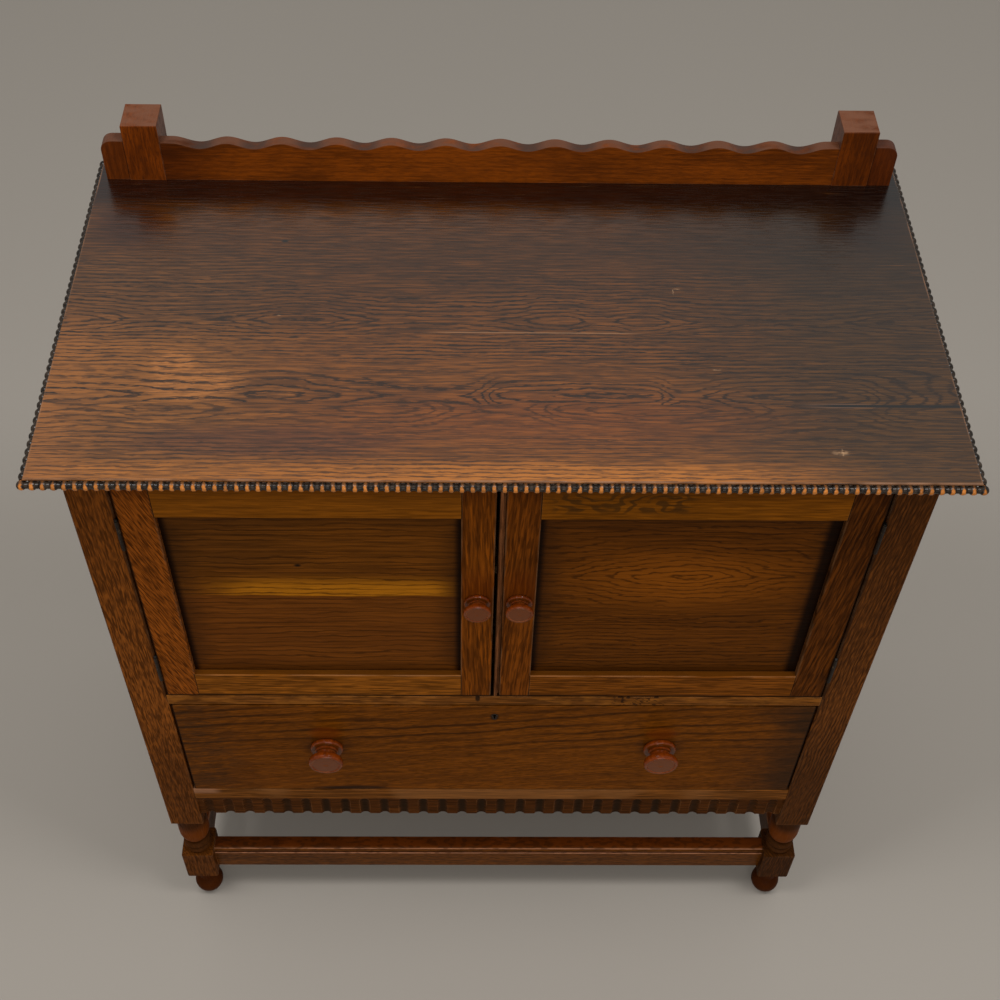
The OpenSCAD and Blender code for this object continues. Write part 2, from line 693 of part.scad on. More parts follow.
// Butt hinges, with the knuckles proud of the front
knuckles = 5;
knuckle_l = hinge_l / knuckles;
leaf_y1 = yf + leaf_w;
seat_depth = leaf_t + metal_gap / 2 - door_gap / 2;
module hinge_seats(frame_side)
    both_sides() for (z = [upper_hinge_z, lower_hinge_z])
        block(frame_side ? [xi - 1, xi + seat_depth + 0.02] : [xi - door_gap - seat_depth - 0.02, xi - door_gap + 1],
            [yf - 1, leaf_y1 + 0.1], [z - hinge_l / 2 - 0.1, z + hinge_l / 2 + 0.1]);
module knuckle_row(which)
    for (k = [0 : knuckles - 1]) if (k % 2 == which)
        translate([0, 0, -hinge_l / 2 + k * knuckle_l + metal_gap / 2])
            children();
module hinge_leaf(sx, which)
    difference() {
        union() {
            block(sx > 0 ? [metal_gap / 2, metal_gap / 2 + leaf_t] : [-metal_gap / 2 - leaf_t, -metal_gap / 2],
                [yf - hinge_y, leaf_y1 - hinge_y], [-hinge_l / 2, hinge_l / 2]);
            knuckle_row(which) {
                cylinder(r = knuckle_r, h = knuckle_l - metal_gap, $fn = 32);
                block(sx > 0 ? [metal_gap / 2, metal_gap / 2 + leaf_t] : [-metal_gap / 2 - leaf_t, -metal_gap / 2],
                    [0, yf - hinge_y + 0.5], [0, knuckle_l - metal_gap]);
            }
        }
        translate([0, 0, -hinge_l / 2 - 1]) cylinder(r = pin_r + pin_gap, h = hinge_l + 2, $fn = 32);
    }
module at_hinges()
    for (z = [upper_hinge_z, lower_hinge_z]) translate([hinge_x, hinge_y, z]) children();
module hinge_frame_leaves() color(old_brass) both_sides() at_hinges() hinge_leaf(1, 0);
module right_door_hinge_leaves() color(old_brass) at_hinges() hinge_leaf(-1, 1);
module left_door_hinge_leaves() color(old_brass) mirror([1, 0, 0]) at_hinges() hinge_leaf(-1, 1);
module hinge_pins()
    color(steel) both_sides() at_hinges() {
        translate([0, 0, -hinge_l / 2]) cylinder(r = pin_r, h = hinge_l, $fn = 32);
        for (s = [-1, 1]) translate([0, 0, s * (hinge_l / 2 + 0.6)])
            cylinder(r = pin_r + 0.5, h = 1.2, center = true, $fn = 32);
    }

// Door frames: stiles run the full height, rails are tenoned between them,
// and the panel floats in grooves
door_y = [yf, yf + door_t];
panel_y = [yf + panel_set, yf + panel_set + door_panel_t];
door_tenon_t = 8;
door_tenon_l = 16;
door_tenon_y = middle_of(yf + panel_set + door_panel_t / 2, door_tenon_t);
rail_top_z = [door_z1 - door_top_rail_h, door_z1];
rail_bottom_z = [door_z0, door_z0 + door_bottom_rail_h];
tenon_top_z = tenon_in([rail_top_z[0] + groove_d, door_z1]);
tenon_bottom_z = tenon_in([door_z0, rail_bottom_z[1] - groove_d]);
left_panel_x = [left_x0 + hinge_stile_w, left_x1 - meeting_stile_w];
right_panel_x = [right_stile_x0 + meeting_stile_w, right_x1 - hinge_stile_w];
module door_sockets(x)
    union() {
        for (z = [tenon_top_z, tenon_bottom_z])
            block([x[0] - door_tenon_l - fit, x[1] + door_tenon_l + fit],
                [door_tenon_y[0] - fit, door_tenon_y[1] + fit], [z[0] - fit, z[1] + fit]);
        block([x[0] - groove_d, x[1] + groove_d], [panel_y[0] - fit, panel_y[1] + fit],
            [rail_bottom_z[1] - groove_d, rail_top_z[0] + groove_d]);
    }
module door_stile(x, panel_x)
    difference() {
        along_z([door_z0, door_z1], eased(x, door_y));
        door_sockets(panel_x);
    }
module door_rail(x, z, tenon_z)
    difference() {
        union() {
            along_x(x, eased(door_y, z));
            block([x[0] - door_tenon_l, x[1] + door_tenon_l], door_tenon_y, tenon_z);
        }
        block([x[0] - groove_d, x[1] + groove_d], [panel_y[0] - fit, panel_y[1] + fit],
            [rail_bottom_z[1] - groove_d, rail_top_z[0] + groove_d]);
    }
module door_panel(x)
    block([x[0] - panel_tongue, x[1] + panel_tongue], panel_y,
        [rail_bottom_z[1] - groove_d, rail_top_z[0] + panel_tongue]);

// Turned knob: a flange on the door, a waist, and a mushroom head with a
// rim round a flat face. The spigot is glued into the wood.
spigot_r = 5;
spigot_l = 13;
function knob_outline(r, out) = concat(
    [[0, -spigot_l], [spigot_r - fit, -spigot_l], [spigot_r - fit, 0], [r * 0.84, 0]],
    arc(r * 0.85, out * 0.12, r * 0.1, out * 0.12, -85, 90),
    [[r * 0.7, out * 0.25]],
    arc(r * 0.63, out * 0.31, r * 0.06, out * 0.06, -70, 70, 4),
    [[r * 0.56, out * 0.39], [r * 0.53, out * 0.5], [r * 0.58, out * 0.61], [r * 0.8, out * 0.65]],
    arc(r * 0.86, out * 0.83, r * 0.14, out * 0.17, -105, 90, 10),
    [[r * 0.82, out * 0.99], [r * 0.79, out * 0.96], [r * 0.76, out * 0.975], [0, out * 0.985]]);
module knob(x, z, r, out)
    color(knob_wood) translate([x, yf, z]) rotate([90, 0, 0])
        rotate_extrude($fn = 64) polygon(knob_outline(r, out));
module knob_hole(x, z, deep)
    translate([x, yf + deep, z]) rotate([90, 0, 0]) cylinder(r = spigot_r, h = deep + 1, $fn = 32);

left_knob_x = left_x1 - meeting_stile_w / 2;
right_knob_x = right_stile_x0 + meeting_stile_w / 2;
module left_door_hinge_stile()
    color(door_oak) difference() {
        door_stile([left_x0, left_panel_x[0]], left_panel_x);
        hinge_seats(frame_side = false);
    }
module left_door_meeting_stile()
    color(door_oak) difference() {
        door_stile([left_panel_x[1], left_x1], left_panel_x);
        knob_hole(left_knob_x, knob_z, spigot_l + 1);
    }
module left_door_top_rail() color(door_oak) door_rail(left_panel_x, rail_top_z, tenon_top_z);
module left_door_bottom_rail() color(door_oak) door_rail(left_panel_x, rail_bottom_z, tenon_bottom_z);
module left_door_panel() color(panel_oak) door_panel(left_panel_x);
module left_door_knob() knob(left_knob_x, knob_z, door_knob_r, door_knob_out);
module right_door_hinge_stile()
    color(door_oak) difference() {
        door_stile([right_panel_x[1], right_x1], right_panel_x);
        hinge_seats(frame_side = false);
    }
module right_door_meeting_stile()
    color(door_oak) difference() {
        door_stile([right_stile_x0, right_panel_x[0]], right_panel_x);
        knob_hole(right_knob_x, knob_z, spigot_l + 1);
    }
module right_door_top_rail() color(door_oak) door_rail(right_panel_x, rail_top_z, tenon_top_z);
module right_door_bottom_rail() color(door_oak) door_rail(right_panel_x, rail_bottom_z, tenon_bottom_z);
module right_door_panel() color(panel_oak) door_panel(right_panel_x);
module right_door_knob() knob(right_knob_x, knob_z, door_knob_r, door_knob_out);
// Rounded strip on the closing edge, with a quirk between it and the stile
module closing_bead() {
    w = closing_bead_w;
    quirk_d = 5;
    color(door_oak) along_z([door_z0, door_z1], concat(
        [[right_x0, yf + door_t], [right_x0, yf + w / 2]],
        arc(right_x0 + w / 2, yf + w / 2, w / 2, w / 2, 180, 360, 8),
        [[right_x0 + w, yf + quirk_d], [right_stile_x0, yf + quirk_d], [right_stile_x0, yf + door_t]]));
}

// Drawer: front with lapped dovetails, sides, back, and a bottom in grooves
tail_step = (drawer_side_z1 - drawer_side_z0) / tail_count;
tail_slope = 2.5;
side_outer = [drawer_side_x - drawer_side_t, drawer_side_x];
drawer_front_y = [yf, yf + drawer_front_t];
module tails(outer, clear = 0)
    for (i = [0 : tail_count - 1]) {
        zc = drawer_side_z0 + (i + 0.5) * tail_step;
        half = tail_step * 0.32;
        y0 = drawer_front_y[1] - tail_l - clear;
        y1 = drawer_front_y[1];
        along_x([side_outer[0] - clear, outer], [
            [y1 + clear, zc - half - clear], [y1 + clear, zc + half + clear],
            [y0, zc + half + tail_slope + clear], [y0, zc - half - tail_slope - clear]]);
    }
module keyhole(y)
    union() {
        translate([0, y[1], keyhole_z]) rotate([90, 0, 0])
            cylinder(r = keyhole_r, h = y[1] - y[0], $fn = 24);
        block([-keyhole_r / 2, keyhole_r / 2], y, [keyhole_z - keyhole_slot, keyhole_z]);
    }
bottom_slot_z = [drawer_bottom_z - fit, drawer_bottom_z + drawer_bottom_t + fit];
module drawer_front()
    color(door_oak) difference() {
        along_x([-drawer_x, drawer_x], eased(drawer_front_y, [drawer_z0, drawer_z1]));
        both_sides() tails(drawer_x + 1, fit);
        // groove for the bottom
        block([-side_outer[0] - 1, side_outer[0] + 1],
            [drawer_front_y[1] - drawer_groove, drawer_front_y[1] + 1], bottom_slot_z);
        // seat of the lock, keyhole and knob sockets
        block(middle_of(0, lock_w + 2 * fit), [lock_y0 - fit, drawer_front_y[1] + 1],
            [keyhole_z - lock_below - fit, drawer_z1 + 1]);
        keyhole([yf - 1, lock_y0 + 1]);
        for (s = [-1, 1]) knob_hole(s * drawer_knob_x, drawer_knob_z, spigot_l + 1);
    }
module drawer_side()
    difference() {
        union() {
            along_y([drawer_front_y[1], drawer_back_y],
                eased(side_outer, [drawer_side_z0, drawer_side_z1], 0.6 * ease));
            tails(side_outer[1]);
        }
        block([side_outer[0] - 1, side_outer[0] + drawer_groove],
            [drawer_front_y[1] - drawer_groove, drawer_back_y + 1], bottom_slot_z);
        // housing for the drawer back
        block([side_outer[0] - 1, side_outer[0] + back_housing], drawer_back_span(fit),
            [drawer_bottom_z + drawer_bottom_t, drawer_side_z1 + 1]);
    }
back_housing = 4;
back_in = 10;
back_drop = 4;
function drawer_back_span(clear) =
    [drawer_back_y - back_in - drawer_side_t - clear, drawer_back_y - back_in + clear];
module drawer_right_side() color(inner_oak) drawer_side();
module drawer_left_side() color(inner_oak) mirror([1, 0, 0]) drawer_side();
module drawer_back()
    color(inner_oak) block(
        [-side_outer[0] - back_housing + fit, side_outer[0] + back_housing - fit], drawer_back_span(0),
        [drawer_bottom_z + drawer_bottom_t + fit, drawer_side_z1 - back_drop]);
module drawer_bottom()
    color(inner_oak) block([-side_outer[0] - drawer_groove + 0.5, side_outer[0] + drawer_groove - 0.5],
        [drawer_front_y[1] - drawer_groove + 0.5, drawer_back_y - back_drop],
        [drawer_bottom_z, drawer_bottom_z + drawer_bottom_t]);
module drawer_knobs()
    for (s = [-1, 1]) knob(s * drawer_knob_x, drawer_knob_z, drawer_knob_r, drawer_knob_out);

// Till lock: an iron box open at the top for the bolt. The key pin stands
// behind the keyhole.
lock_wall = 1.5;
module drawer_lock()
    color(steel) {
        difference() {
            block(middle_of(0, lock_w), [lock_y0, lock_y0 + lock_t], [keyhole_z - lock_below, drawer_z1 - 0.3]);
            block(middle_of(0, lock_w - 2 * lock_wall),
                [lock_y0 + lock_wall, lock_y0 + lock_t - lock_wall],
                [keyhole_z - lock_below + lock_wall, drawer_z1 - lock_wall]);
            block(middle_of(0, bolt_w + 2 * metal_gap),
                [bolt_y - bolt_t / 2 - metal_gap, bolt_y + bolt_t / 2 + metal_gap],
                [drawer_z1 - lock_wall - 1, drawer_z1 + 1]);
            keyhole([lock_y0 - 1, lock_y0 + lock_wall + 1]);
        }
        translate([0, lock_y0 + lock_t, keyhole_z]) rotate([90, 0, 0])
            cylinder(r = key_pin_r, h = lock_t - lock_wall + 0.5, $fn = 24);
    }
// Bolt: a tongue through the top of the box on a wider tail that the key lifts
module lock_bolt() {
    tail_z = keyhole_z + keyhole_r + 2;
    color(old_brass) union() {
        block(middle_of(0, bolt_w), middle_of(bolt_y, bolt_t), [tail_z, bolt_tip]);
        block(middle_of(0, bolt_tail_w), middle_of(bolt_y, bolt_t), [tail_z, tail_z + bolt_tail_h]);
    }
}

top_board_front();
top_board_middle();
top_board_rear();
bead_moulding_front();
bead_moulding_left();
bead_moulding_right();
gallery_board();
gallery_ears();
gallery_posts();
front_left_leg();
front_right_leg();
rear_left_leg();
rear_right_leg();
left_top_rail();
left_bottom_rail();
left_side_panel();
right_top_rail();
right_bottom_rail();
right_side_panel();
rear_top_rail();
rear_bottom_rail();
rear_panel();
front_top_rail();
middle_rail();
bottom_rail();
fluted_apron();
front_stretcher();
left_stretcher();
right_stretcher();
rear_stretcher();
cupboard_floor();
shelf();
shelf_bearers();
drawer_runners();
door_stops();
hinge_frame_leaves();
hinge_pins();
left_door_hinge_stile();
left_door_meeting_stile();
left_door_top_rail();
left_door_bottom_rail();
left_door_panel();
left_door_knob();
left_door_hinge_leaves();
right_door_hinge_stile();
right_door_meeting_stile();
right_door_top_rail();
right_door_bottom_rail();
right_door_panel();
right_door_knob();
right_door_hinge_leaves();
closing_bead();
drawer_front();
drawer_left_side();
drawer_right_side();
drawer_back();
drawer_bottom();
drawer_knobs();
drawer_lock();
lock_bolt();
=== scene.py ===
import math

import bmesh
import bpy
from mathutils import Matrix, Vector


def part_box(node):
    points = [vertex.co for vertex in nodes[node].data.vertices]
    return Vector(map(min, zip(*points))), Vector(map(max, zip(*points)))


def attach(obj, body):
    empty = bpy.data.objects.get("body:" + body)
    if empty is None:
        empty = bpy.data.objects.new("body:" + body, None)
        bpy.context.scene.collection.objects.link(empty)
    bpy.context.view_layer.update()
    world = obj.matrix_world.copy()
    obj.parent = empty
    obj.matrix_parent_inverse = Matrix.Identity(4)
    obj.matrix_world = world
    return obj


# Oak cupboard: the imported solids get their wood, and small fittings are added.
# Metres, in the frame of the solids: X to the right, -Y to the user, Z up.
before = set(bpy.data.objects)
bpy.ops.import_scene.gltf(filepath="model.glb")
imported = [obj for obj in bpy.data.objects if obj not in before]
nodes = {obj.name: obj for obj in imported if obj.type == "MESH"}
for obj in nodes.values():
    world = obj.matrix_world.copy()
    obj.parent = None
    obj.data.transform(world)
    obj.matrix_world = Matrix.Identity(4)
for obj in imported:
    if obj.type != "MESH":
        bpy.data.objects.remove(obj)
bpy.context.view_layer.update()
print("solids loaded:", len(nodes))

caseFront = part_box("middle_rail")[0].y
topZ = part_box("top_board_front")[1].z
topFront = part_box("top_board_front")[0].y
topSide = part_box("top_board_front")[1].x


# Shader wiring
def wire(node, key, value):
    socket = node.inputs[key]
    if isinstance(value, bpy.types.NodeSocket):
        node.id_data.links.new(value, socket)
    else:
        socket.default_value = value


def calc(tree, operation, *values):
    node = tree.nodes.new("ShaderNodeMath")
    node.operation = operation
    for i, value in enumerate(values):
        wire(node, i, value)
    return node.outputs[0]


def times(tree, first, *others):
    for other in others:
        first = calc(tree, "MULTIPLY", first, other)
    return first


def less(tree, value):
    return calc(tree, "SUBTRACT", 1.0, value)


def vectorCalc(tree, operation, *values):
    node = tree.nodes.new("ShaderNodeVectorMath")
    node.operation = operation
    for i, value in enumerate(values):
        wire(node, i, value)
    return node.outputs["Value" if operation in ("LENGTH", "DOT_PRODUCT") else "Vector"]


def smooth(tree, value, low, high):
    node = tree.nodes.new("ShaderNodeMapRange")
    node.interpolation_type = "SMOOTHSTEP"
    for i, v in enumerate((value, low, high, 0.0, 1.0)):
        wire(node, i, v)
    return node.outputs[0]


def mix(tree, factor, a, b, blend="MIX"):
    node = tree.nodes.new("ShaderNodeMix")
    node.data_type = "RGBA"
    node.blend_type = blend
    wire(node, 0, factor)
    for key, colour in ((6, a), (7, b)):
        wire(node, key, (*colour, 1.0) if isinstance(colour, tuple) else colour)
    return node.outputs[2]


def noise(tree, vector, scale, detail=2.0, roughness=0.5):
    node = tree.nodes.new("ShaderNodeTexNoise")
    wire(node, "Vector", vectorCalc(tree, "MULTIPLY", vector, scale))
    node.inputs["Scale"].default_value = 1.0
    node.inputs["Detail"].default_value = detail
    node.inputs["Roughness"].default_value = roughness
    return node.outputs["Fac"]


def ripple(tree, vector, scale, amount, detail=3.0):
    return calc(tree, "MULTIPLY_ADD", noise(tree, vector, scale, detail, 0.6), amount, -amount / 2)


def profile(tree, value, points):
    # a height for each place along a board, both given in millimetres
    node = tree.nodes.new("ShaderNodeFloatCurve")
    curve = node.mapping.curves[0]
    spread = [(x / 1000 + 0.5, y / 50) for x, y in points]
    curve.points[0].location, curve.points[1].location = spread[0], spread[-1]
    for point in spread[1:-1]:
        curve.points.new(*point)
    node.mapping.update()
    wire(node, "Value", calc(tree, "ADD", value, 0.5))
    return calc(tree, "MULTIPLY", node.outputs[0], 0.05)


def spot(tree, place, centre, radii, soft=0.5):
    apart = vectorCalc(tree, "SUBTRACT", place, centre)
    apart = vectorCalc(tree, "DIVIDE", apart, radii)
    return less(tree, smooth(tree, vectorCalc(tree, "LENGTH", apart), 1.0 - soft, 1.0))


def newMaterial(name):
    material = bpy.data.materials.new(name)
    material.use_nodes = True
    tree = material.node_tree
    place = tree.nodes.new("ShaderNodeTexCoord").outputs["Object"]
    return material, tree, tree.nodes["Principled BSDF"], place


def parts(tree, vector):
    split = tree.nodes.new("ShaderNodeSeparateXYZ")
    wire(split, 0, vector)
    return split.outputs


def facing(tree, axis):
    return parts(tree, tree.nodes.new("ShaderNodeTexCoord").outputs["Normal"])[axis]


def band(tree, value, low, high, soft):
    return times(tree, smooth(tree, value, low - soft, low + soft),
                 less(tree, smooth(tree, value, high - soft, high + soft)))


# Wood. Grain space is (along the grain, across the face, into the face), so
# one recipe serves boards that lie, stand or run front to back.
grainOrder = {
    "flat": (0, 1, 2),
    "across": (0, 2, 1),
    "upright": (2, 0, 1),
    "sideUpright": (2, 1, 0),
    "sideLong": (1, 2, 0),
}

plainOak = {
    "grain": "across", "shift": (0.0, 0.0, 0.0), "slant": 0.0, "turned": 0.0,
    "tone": (0.12, 0.038, 0.006), "contrast": (1.42, 0.60, 0.14),
    "rings": 170.0, "centre": 0.4, "eye": 0.008, "curl": None, "reach": 0.05,
    "sway": 0.020, "bend": 0.010, "wobble": 0.7, "lines": 0.55, "early": (0.40, 0.62),
    "streaks": (40.0, 400.0, 160.0), "broad": (2.2, 16.0, 8.0), "cloud": 0.30,
    "pores": (110.0, 600.0, 260.0), "pore": 0.45,
    "wear": 0.3, "worn": (0.26, 0.12, 0.045), "specular": 0.02, "roughness": (0.42, 0.55),
}


def wood(name, ground=None, marks=None, fade=None, **changes):
    spec = {**plainOak, **changes}
    material, tree, shader, place = newMaterial(name)
    axis = parts(tree, place)
    axes = [axis[i] for i in grainOrder[spec["grain"]]]
    along, across, into = [calc(tree, "ADD", a, s) for a, s in zip(axes, spec["shift"])]
    if spec["slant"]:
        across = calc(tree, "MULTIPLY_ADD", along, spec["slant"], across)
    if spec["turned"]:
        # growth lines that show on the side faces too
        across = calc(tree, "MULTIPLY_ADD", into, spec["turned"], across)
    joined = tree.nodes.new("ShaderNodeCombineXYZ")
    for i, value in enumerate((along, across, into)):
        wire(joined, i, value)
    grain = joined.outputs[0]

    # growth lines: straight beside the heart line, in eyes and chevrons on it
    off = calc(tree, "ADD", calc(tree, "SUBTRACT", across, spec["centre"]),
               ripple(tree, grain, (2.2, 4.0, 4.0), spec["sway"]))
    apart = calc(tree, "SQRT", calc(tree, "MULTIPLY_ADD", off, off, spec["eye"] ** 2))
    far = calc(tree, "ADD", apart, ripple(tree, grain, (11.0, 20.0, 12.0), spec["bend"]))
    if spec["curl"]:
        near = less(tree, smooth(tree, apart, 0.0, spec["reach"]))
        far = calc(tree, "MULTIPLY_ADD", profile(tree, axes[0], spec["curl"]), near, far)
    turn = calc(tree, "FRACT", calc(tree, "MULTIPLY_ADD", far, spec["rings"],
                                    ripple(tree, grain, (60.0, 420.0, 150.0), spec["wobble"])))
    ringLine = times(tree, smooth(tree, turn, *spec["early"]), less(tree, smooth(tree, turn, 0.80, 0.98)))
    uneven = smooth(tree, noise(tree, grain, (5.0, 36.0, 12.0)), 0.30, 0.62)
    uneven = calc(tree, "MULTIPLY_ADD", uneven, 0.6, 0.4)
    if spec["curl"]:
        uneven = calc(tree, "MAXIMUM", uneven, times(tree, near, 0.95))
    ringLine = times(tree, ringLine, uneven, spec["lines"])
    if fade:
        ringLine = times(tree, ringLine, fade(tree, axis))

    # fine streaks and broad clouds between the lines, short dark pores over them
    streaks = noise(tree, grain, spec["streaks"], 1.5, 0.5)
    broad = noise(tree, grain, spec["broad"], 3.0, 0.6)
    level = calc(tree, "ADD", times(tree, streaks, 1.0 - spec["cloud"]), times(tree, broad, spec["cloud"]))
    light, deep, line = [tuple(t * k for t in spec["tone"]) for k in spec["contrast"]]
    colour = mix(tree, smooth(tree, level, 0.36, 0.64), deep, light)
    if ground:
        colour = ground(tree, place, axis, grain, colour)
    colour = mix(tree, ringLine, colour, line)
    pores = times(tree, smooth(tree, noise(tree, grain, spec["pores"], 0.0), 0.50, 0.64), spec["pore"])
    colour = mix(tree, pores, colour, line)

    # arrises rubbed pale, by the difference between the face and its rounded twin
    if spec["wear"] > 0:
        rounded = tree.nodes.new("ShaderNodeBevel")
        rounded.samples = 4
        rounded.inputs["Radius"].default_value = 0.0020
        plain = tree.nodes.new("ShaderNodeNewGeometry").outputs["Normal"]
        same = vectorCalc(tree, "DOT_PRODUCT", rounded.outputs[0], plain)
        edge = less(tree, smooth(tree, same, 0.90, 0.99))
        patchy = smooth(tree, noise(tree, place, (30.0, 30.0, 30.0), 3.0, 0.65), 0.44, 0.60)
        colour = mix(tree, times(tree, edge, patchy, spec["wear"]), colour, spec["worn"])
    if marks:
        colour = marks(tree, place, axis, grain, colour)
    wire(shader, "Base Color", colour)
    shader.inputs["Specular IOR Level"].default_value = spec["specular"]

    low, high = spec["roughness"]
    dull = times(tree, noise(tree, grain, (9.0, 60.0, 30.0), 3.0), high - low)
    wire(shader, "Roughness", calc(tree, "ADD", calc(tree, "MULTIPLY_ADD", pores, 0.2, dull), low))

    relief = calc(tree, "ADD", times(tree, pores, -0.8), times(tree, ringLine, -0.4))
    bump = tree.nodes.new("ShaderNodeBump")
    bump.inputs["Strength"].default_value = 0.30
    bump.inputs["Distance"].default_value = 0.0005
    wire(bump, "Height", calc(tree, "MULTIPLY_ADD", streaks, 0.35, relief))
    wire(shader, "Normal", bump.outputs[0])
    return material


def dress(material, *names):
    for name in names:
        slots = nodes[name].data.materials
        slots.clear()
        slots.append(material)


# Dark joint line with painted shade in the gap where a piece meets its neighbours, on both sides of an
# axis in small letters and on the low side of one in capitals
def seamShade(name, sides="xz", width=0.0009, amount=0.8, after=None):
    low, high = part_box(name)

    def shade(tree, place, axis, grain, colour):
        if after:
            colour = after(tree, place, axis, grain, colour)
        near = 1.0
        for i, side in enumerate("xyz"):
            if side in sides.lower():
                near = calc(tree, "MINIMUM", near, calc(tree, "SUBTRACT", axis[i], low[i]))
            if side in sides:
                near = calc(tree, "MINIMUM", near, calc(tree, "SUBTRACT", high[i], axis[i]))
        line = less(tree, smooth(tree, near, width, width * 2.2))
        return mix(tree, times(tree, line, amount), colour, (0.006, 0.003, 0.0015))
    return shade


# Top boards: brown with fine dark figure, rubbed to orange and sand colour at
# the front and the left, red-brown in the middle, dull to the rear and right
topWood = {
    "grain": "flat", "tone": (0.140, 0.042, 0.0045), "contrast": (1.50, 0.60, 0.08),
    "rings": 185.0, "eye": 0.004, "sway": 0.006, "bend": 0.009, "wobble": 1.1,
    "lines": 0.95, "early": (0.50, 0.70),
    "streaks": (18.0, 400.0, 120.0), "broad": (2.0, 14.0, 6.0), "cloud": 0.30,
    "pores": (44.0, 560.0, 200.0), "pore": 0.40,
    "wear": 0.0, "specular": 0.85, "roughness": (0.14, 0.24),
}


def lessToRear(tree, axis):
    return calc(tree, "MULTIPLY_ADD", smooth(tree, axis[1], 0.010, 0.120), -0.50, 1.0)


topPatches = {
    "stain": ((-0.245, -0.197, topZ), (0.20, 0.031, 1.0)),
    "postReflectionSpot": ((0.425, 0.135, topZ), (0.060, 0.060, 1.0)),
    "red": ((0.03, -0.165, topZ), (0.36, 0.060, 1.0)),
    "gold": ((-0.322, -0.119, topZ), (0.080, 0.038, 1.0)),
    "goldBehind": ((-0.348, -0.092, topZ), (0.034, 0.036, 1.0)),
    "goldTip": ((-0.228, -0.132, topZ), (0.026, 0.012, 1.0)),
    "knot": ((-0.246, 0.105, topZ), (0.006, 0.0035, 1.0)),
}


def topGround(tree, place, axis, grain, colour):
    x, y = axis[0], axis[1]
    ragged = ripple(tree, grain, (11.0, 190.0, 60.0), 1.0)

    def torn(value, amount):
        return calc(tree, "MULTIPLY_ADD", ragged, amount, value)

    colour = mix(tree, smooth(tree, torn(y, 0.10), -0.20, 0.10), colour, (0.50, 0.52, 0.70), "MULTIPLY")
    # painted shade and dark reflection of the gallery on the band in front of it
    galleryShadeBand = times(tree, smooth(tree, y, 0.150, 0.185), smooth(tree, facing(tree, 2), 0.3, 0.7))
    colour = mix(tree, galleryShadeBand, colour, (0.20, 0.11, 0.11), "MULTIPLY")
    gloom = smooth(tree, torn(x, 0.20), 0.08, 0.38)
    colour = mix(tree, times(tree, gloom, 0.85), colour, (0.30, 0.42, 0.62), "MULTIPLY")
    rear = times(tree, smooth(tree, y, 0.02, 0.13), smooth(tree, x, -0.25, 0.30))
    colour = mix(tree, rear, colour, (0.60, 0.60, 0.68), "MULTIPLY")
    # painted sheen: lighter and greyer at the left, except towards the rear
    leftSheen = times(tree, less(tree, smooth(tree, torn(x, 0.20), -0.36, -0.16)),
                  less(tree, smooth(tree, y, 0.05, 0.11)))
    colour = mix(tree, leftSheen, colour, (1.15, 1.30, 1.80), "MULTIPLY")
    # bluish brown behind the left half of the front edge
    stain = spot(tree, place, *topPatches["stain"], 0.7)
    colour = mix(tree, times(tree, stain, 0.62), colour, (0.070, 0.020, 0.0090))
    # painted dark reflection of the posts in the shine beside them
    beside = vectorCalc(tree, "ABSOLUTE", place)
    postReflection = times(tree, spot(tree, beside, *topPatches["postReflectionSpot"], 0.7), smooth(tree, y, 0.05, 0.09))
    colour = mix(tree, postReflection, colour, (0.60, 0.46, 0.40), "MULTIPLY")
    red = spot(tree, place, *topPatches["red"], 0.9)
    colour = mix(tree, times(tree, red, 0.40), colour, (0.160, 0.034, 0.0040))
    # sandy strip along the front, orange left end, gold patch with a ragged tip
    strip = less(tree, smooth(tree, torn(y, 0.035), topFront + 0.010, topFront + 0.034))
    strip = times(tree, strip, less(tree, smooth(tree, x, 0.16, 0.42)),
                  calc(tree, "MULTIPLY_ADD", smooth(tree, x, -0.30, 0.0), 0.45, 0.55))
    colour = mix(tree, times(tree, strip, 0.80), colour, (0.430, 0.140, 0.016))
    leftEnd = times(tree, less(tree, smooth(tree, torn(x, 0.11), -0.47, -0.39)),
                    less(tree, smooth(tree, y, -0.07, 0.02)))
    colour = mix(tree, times(tree, leftEnd, 0.60), colour, (0.270, 0.092, 0.018))
    side = times(tree, less(tree, smooth(tree, torn(x, 0.16), -0.36, -0.24)),
                 band(tree, torn(y, 0.02), -0.146, -0.055, 0.012))
    colour = mix(tree, times(tree, side, 0.55), colour, (0.270, 0.092, 0.014))
    core = calc(tree, "MAXIMUM", spot(tree, place, *topPatches["gold"], 0.9),
                spot(tree, place, *topPatches["goldBehind"], 0.8))
    small = times(tree, spot(tree, place, *topPatches["goldTip"], 0.9), 0.40)
    bare = torn(calc(tree, "MAXIMUM", core, small), 1.3)
    flakes = smooth(tree, noise(tree, grain, (70.0, 520.0, 60.0), 2.0, 0.6), 0.40, 0.60)
    bare = times(tree, smooth(tree, bare, 0.15, 0.75), calc(tree, "MULTIPLY_ADD", flakes, 0.45, 0.25))
    return mix(tree, bare, colour, (0.400, 0.142, 0.030))


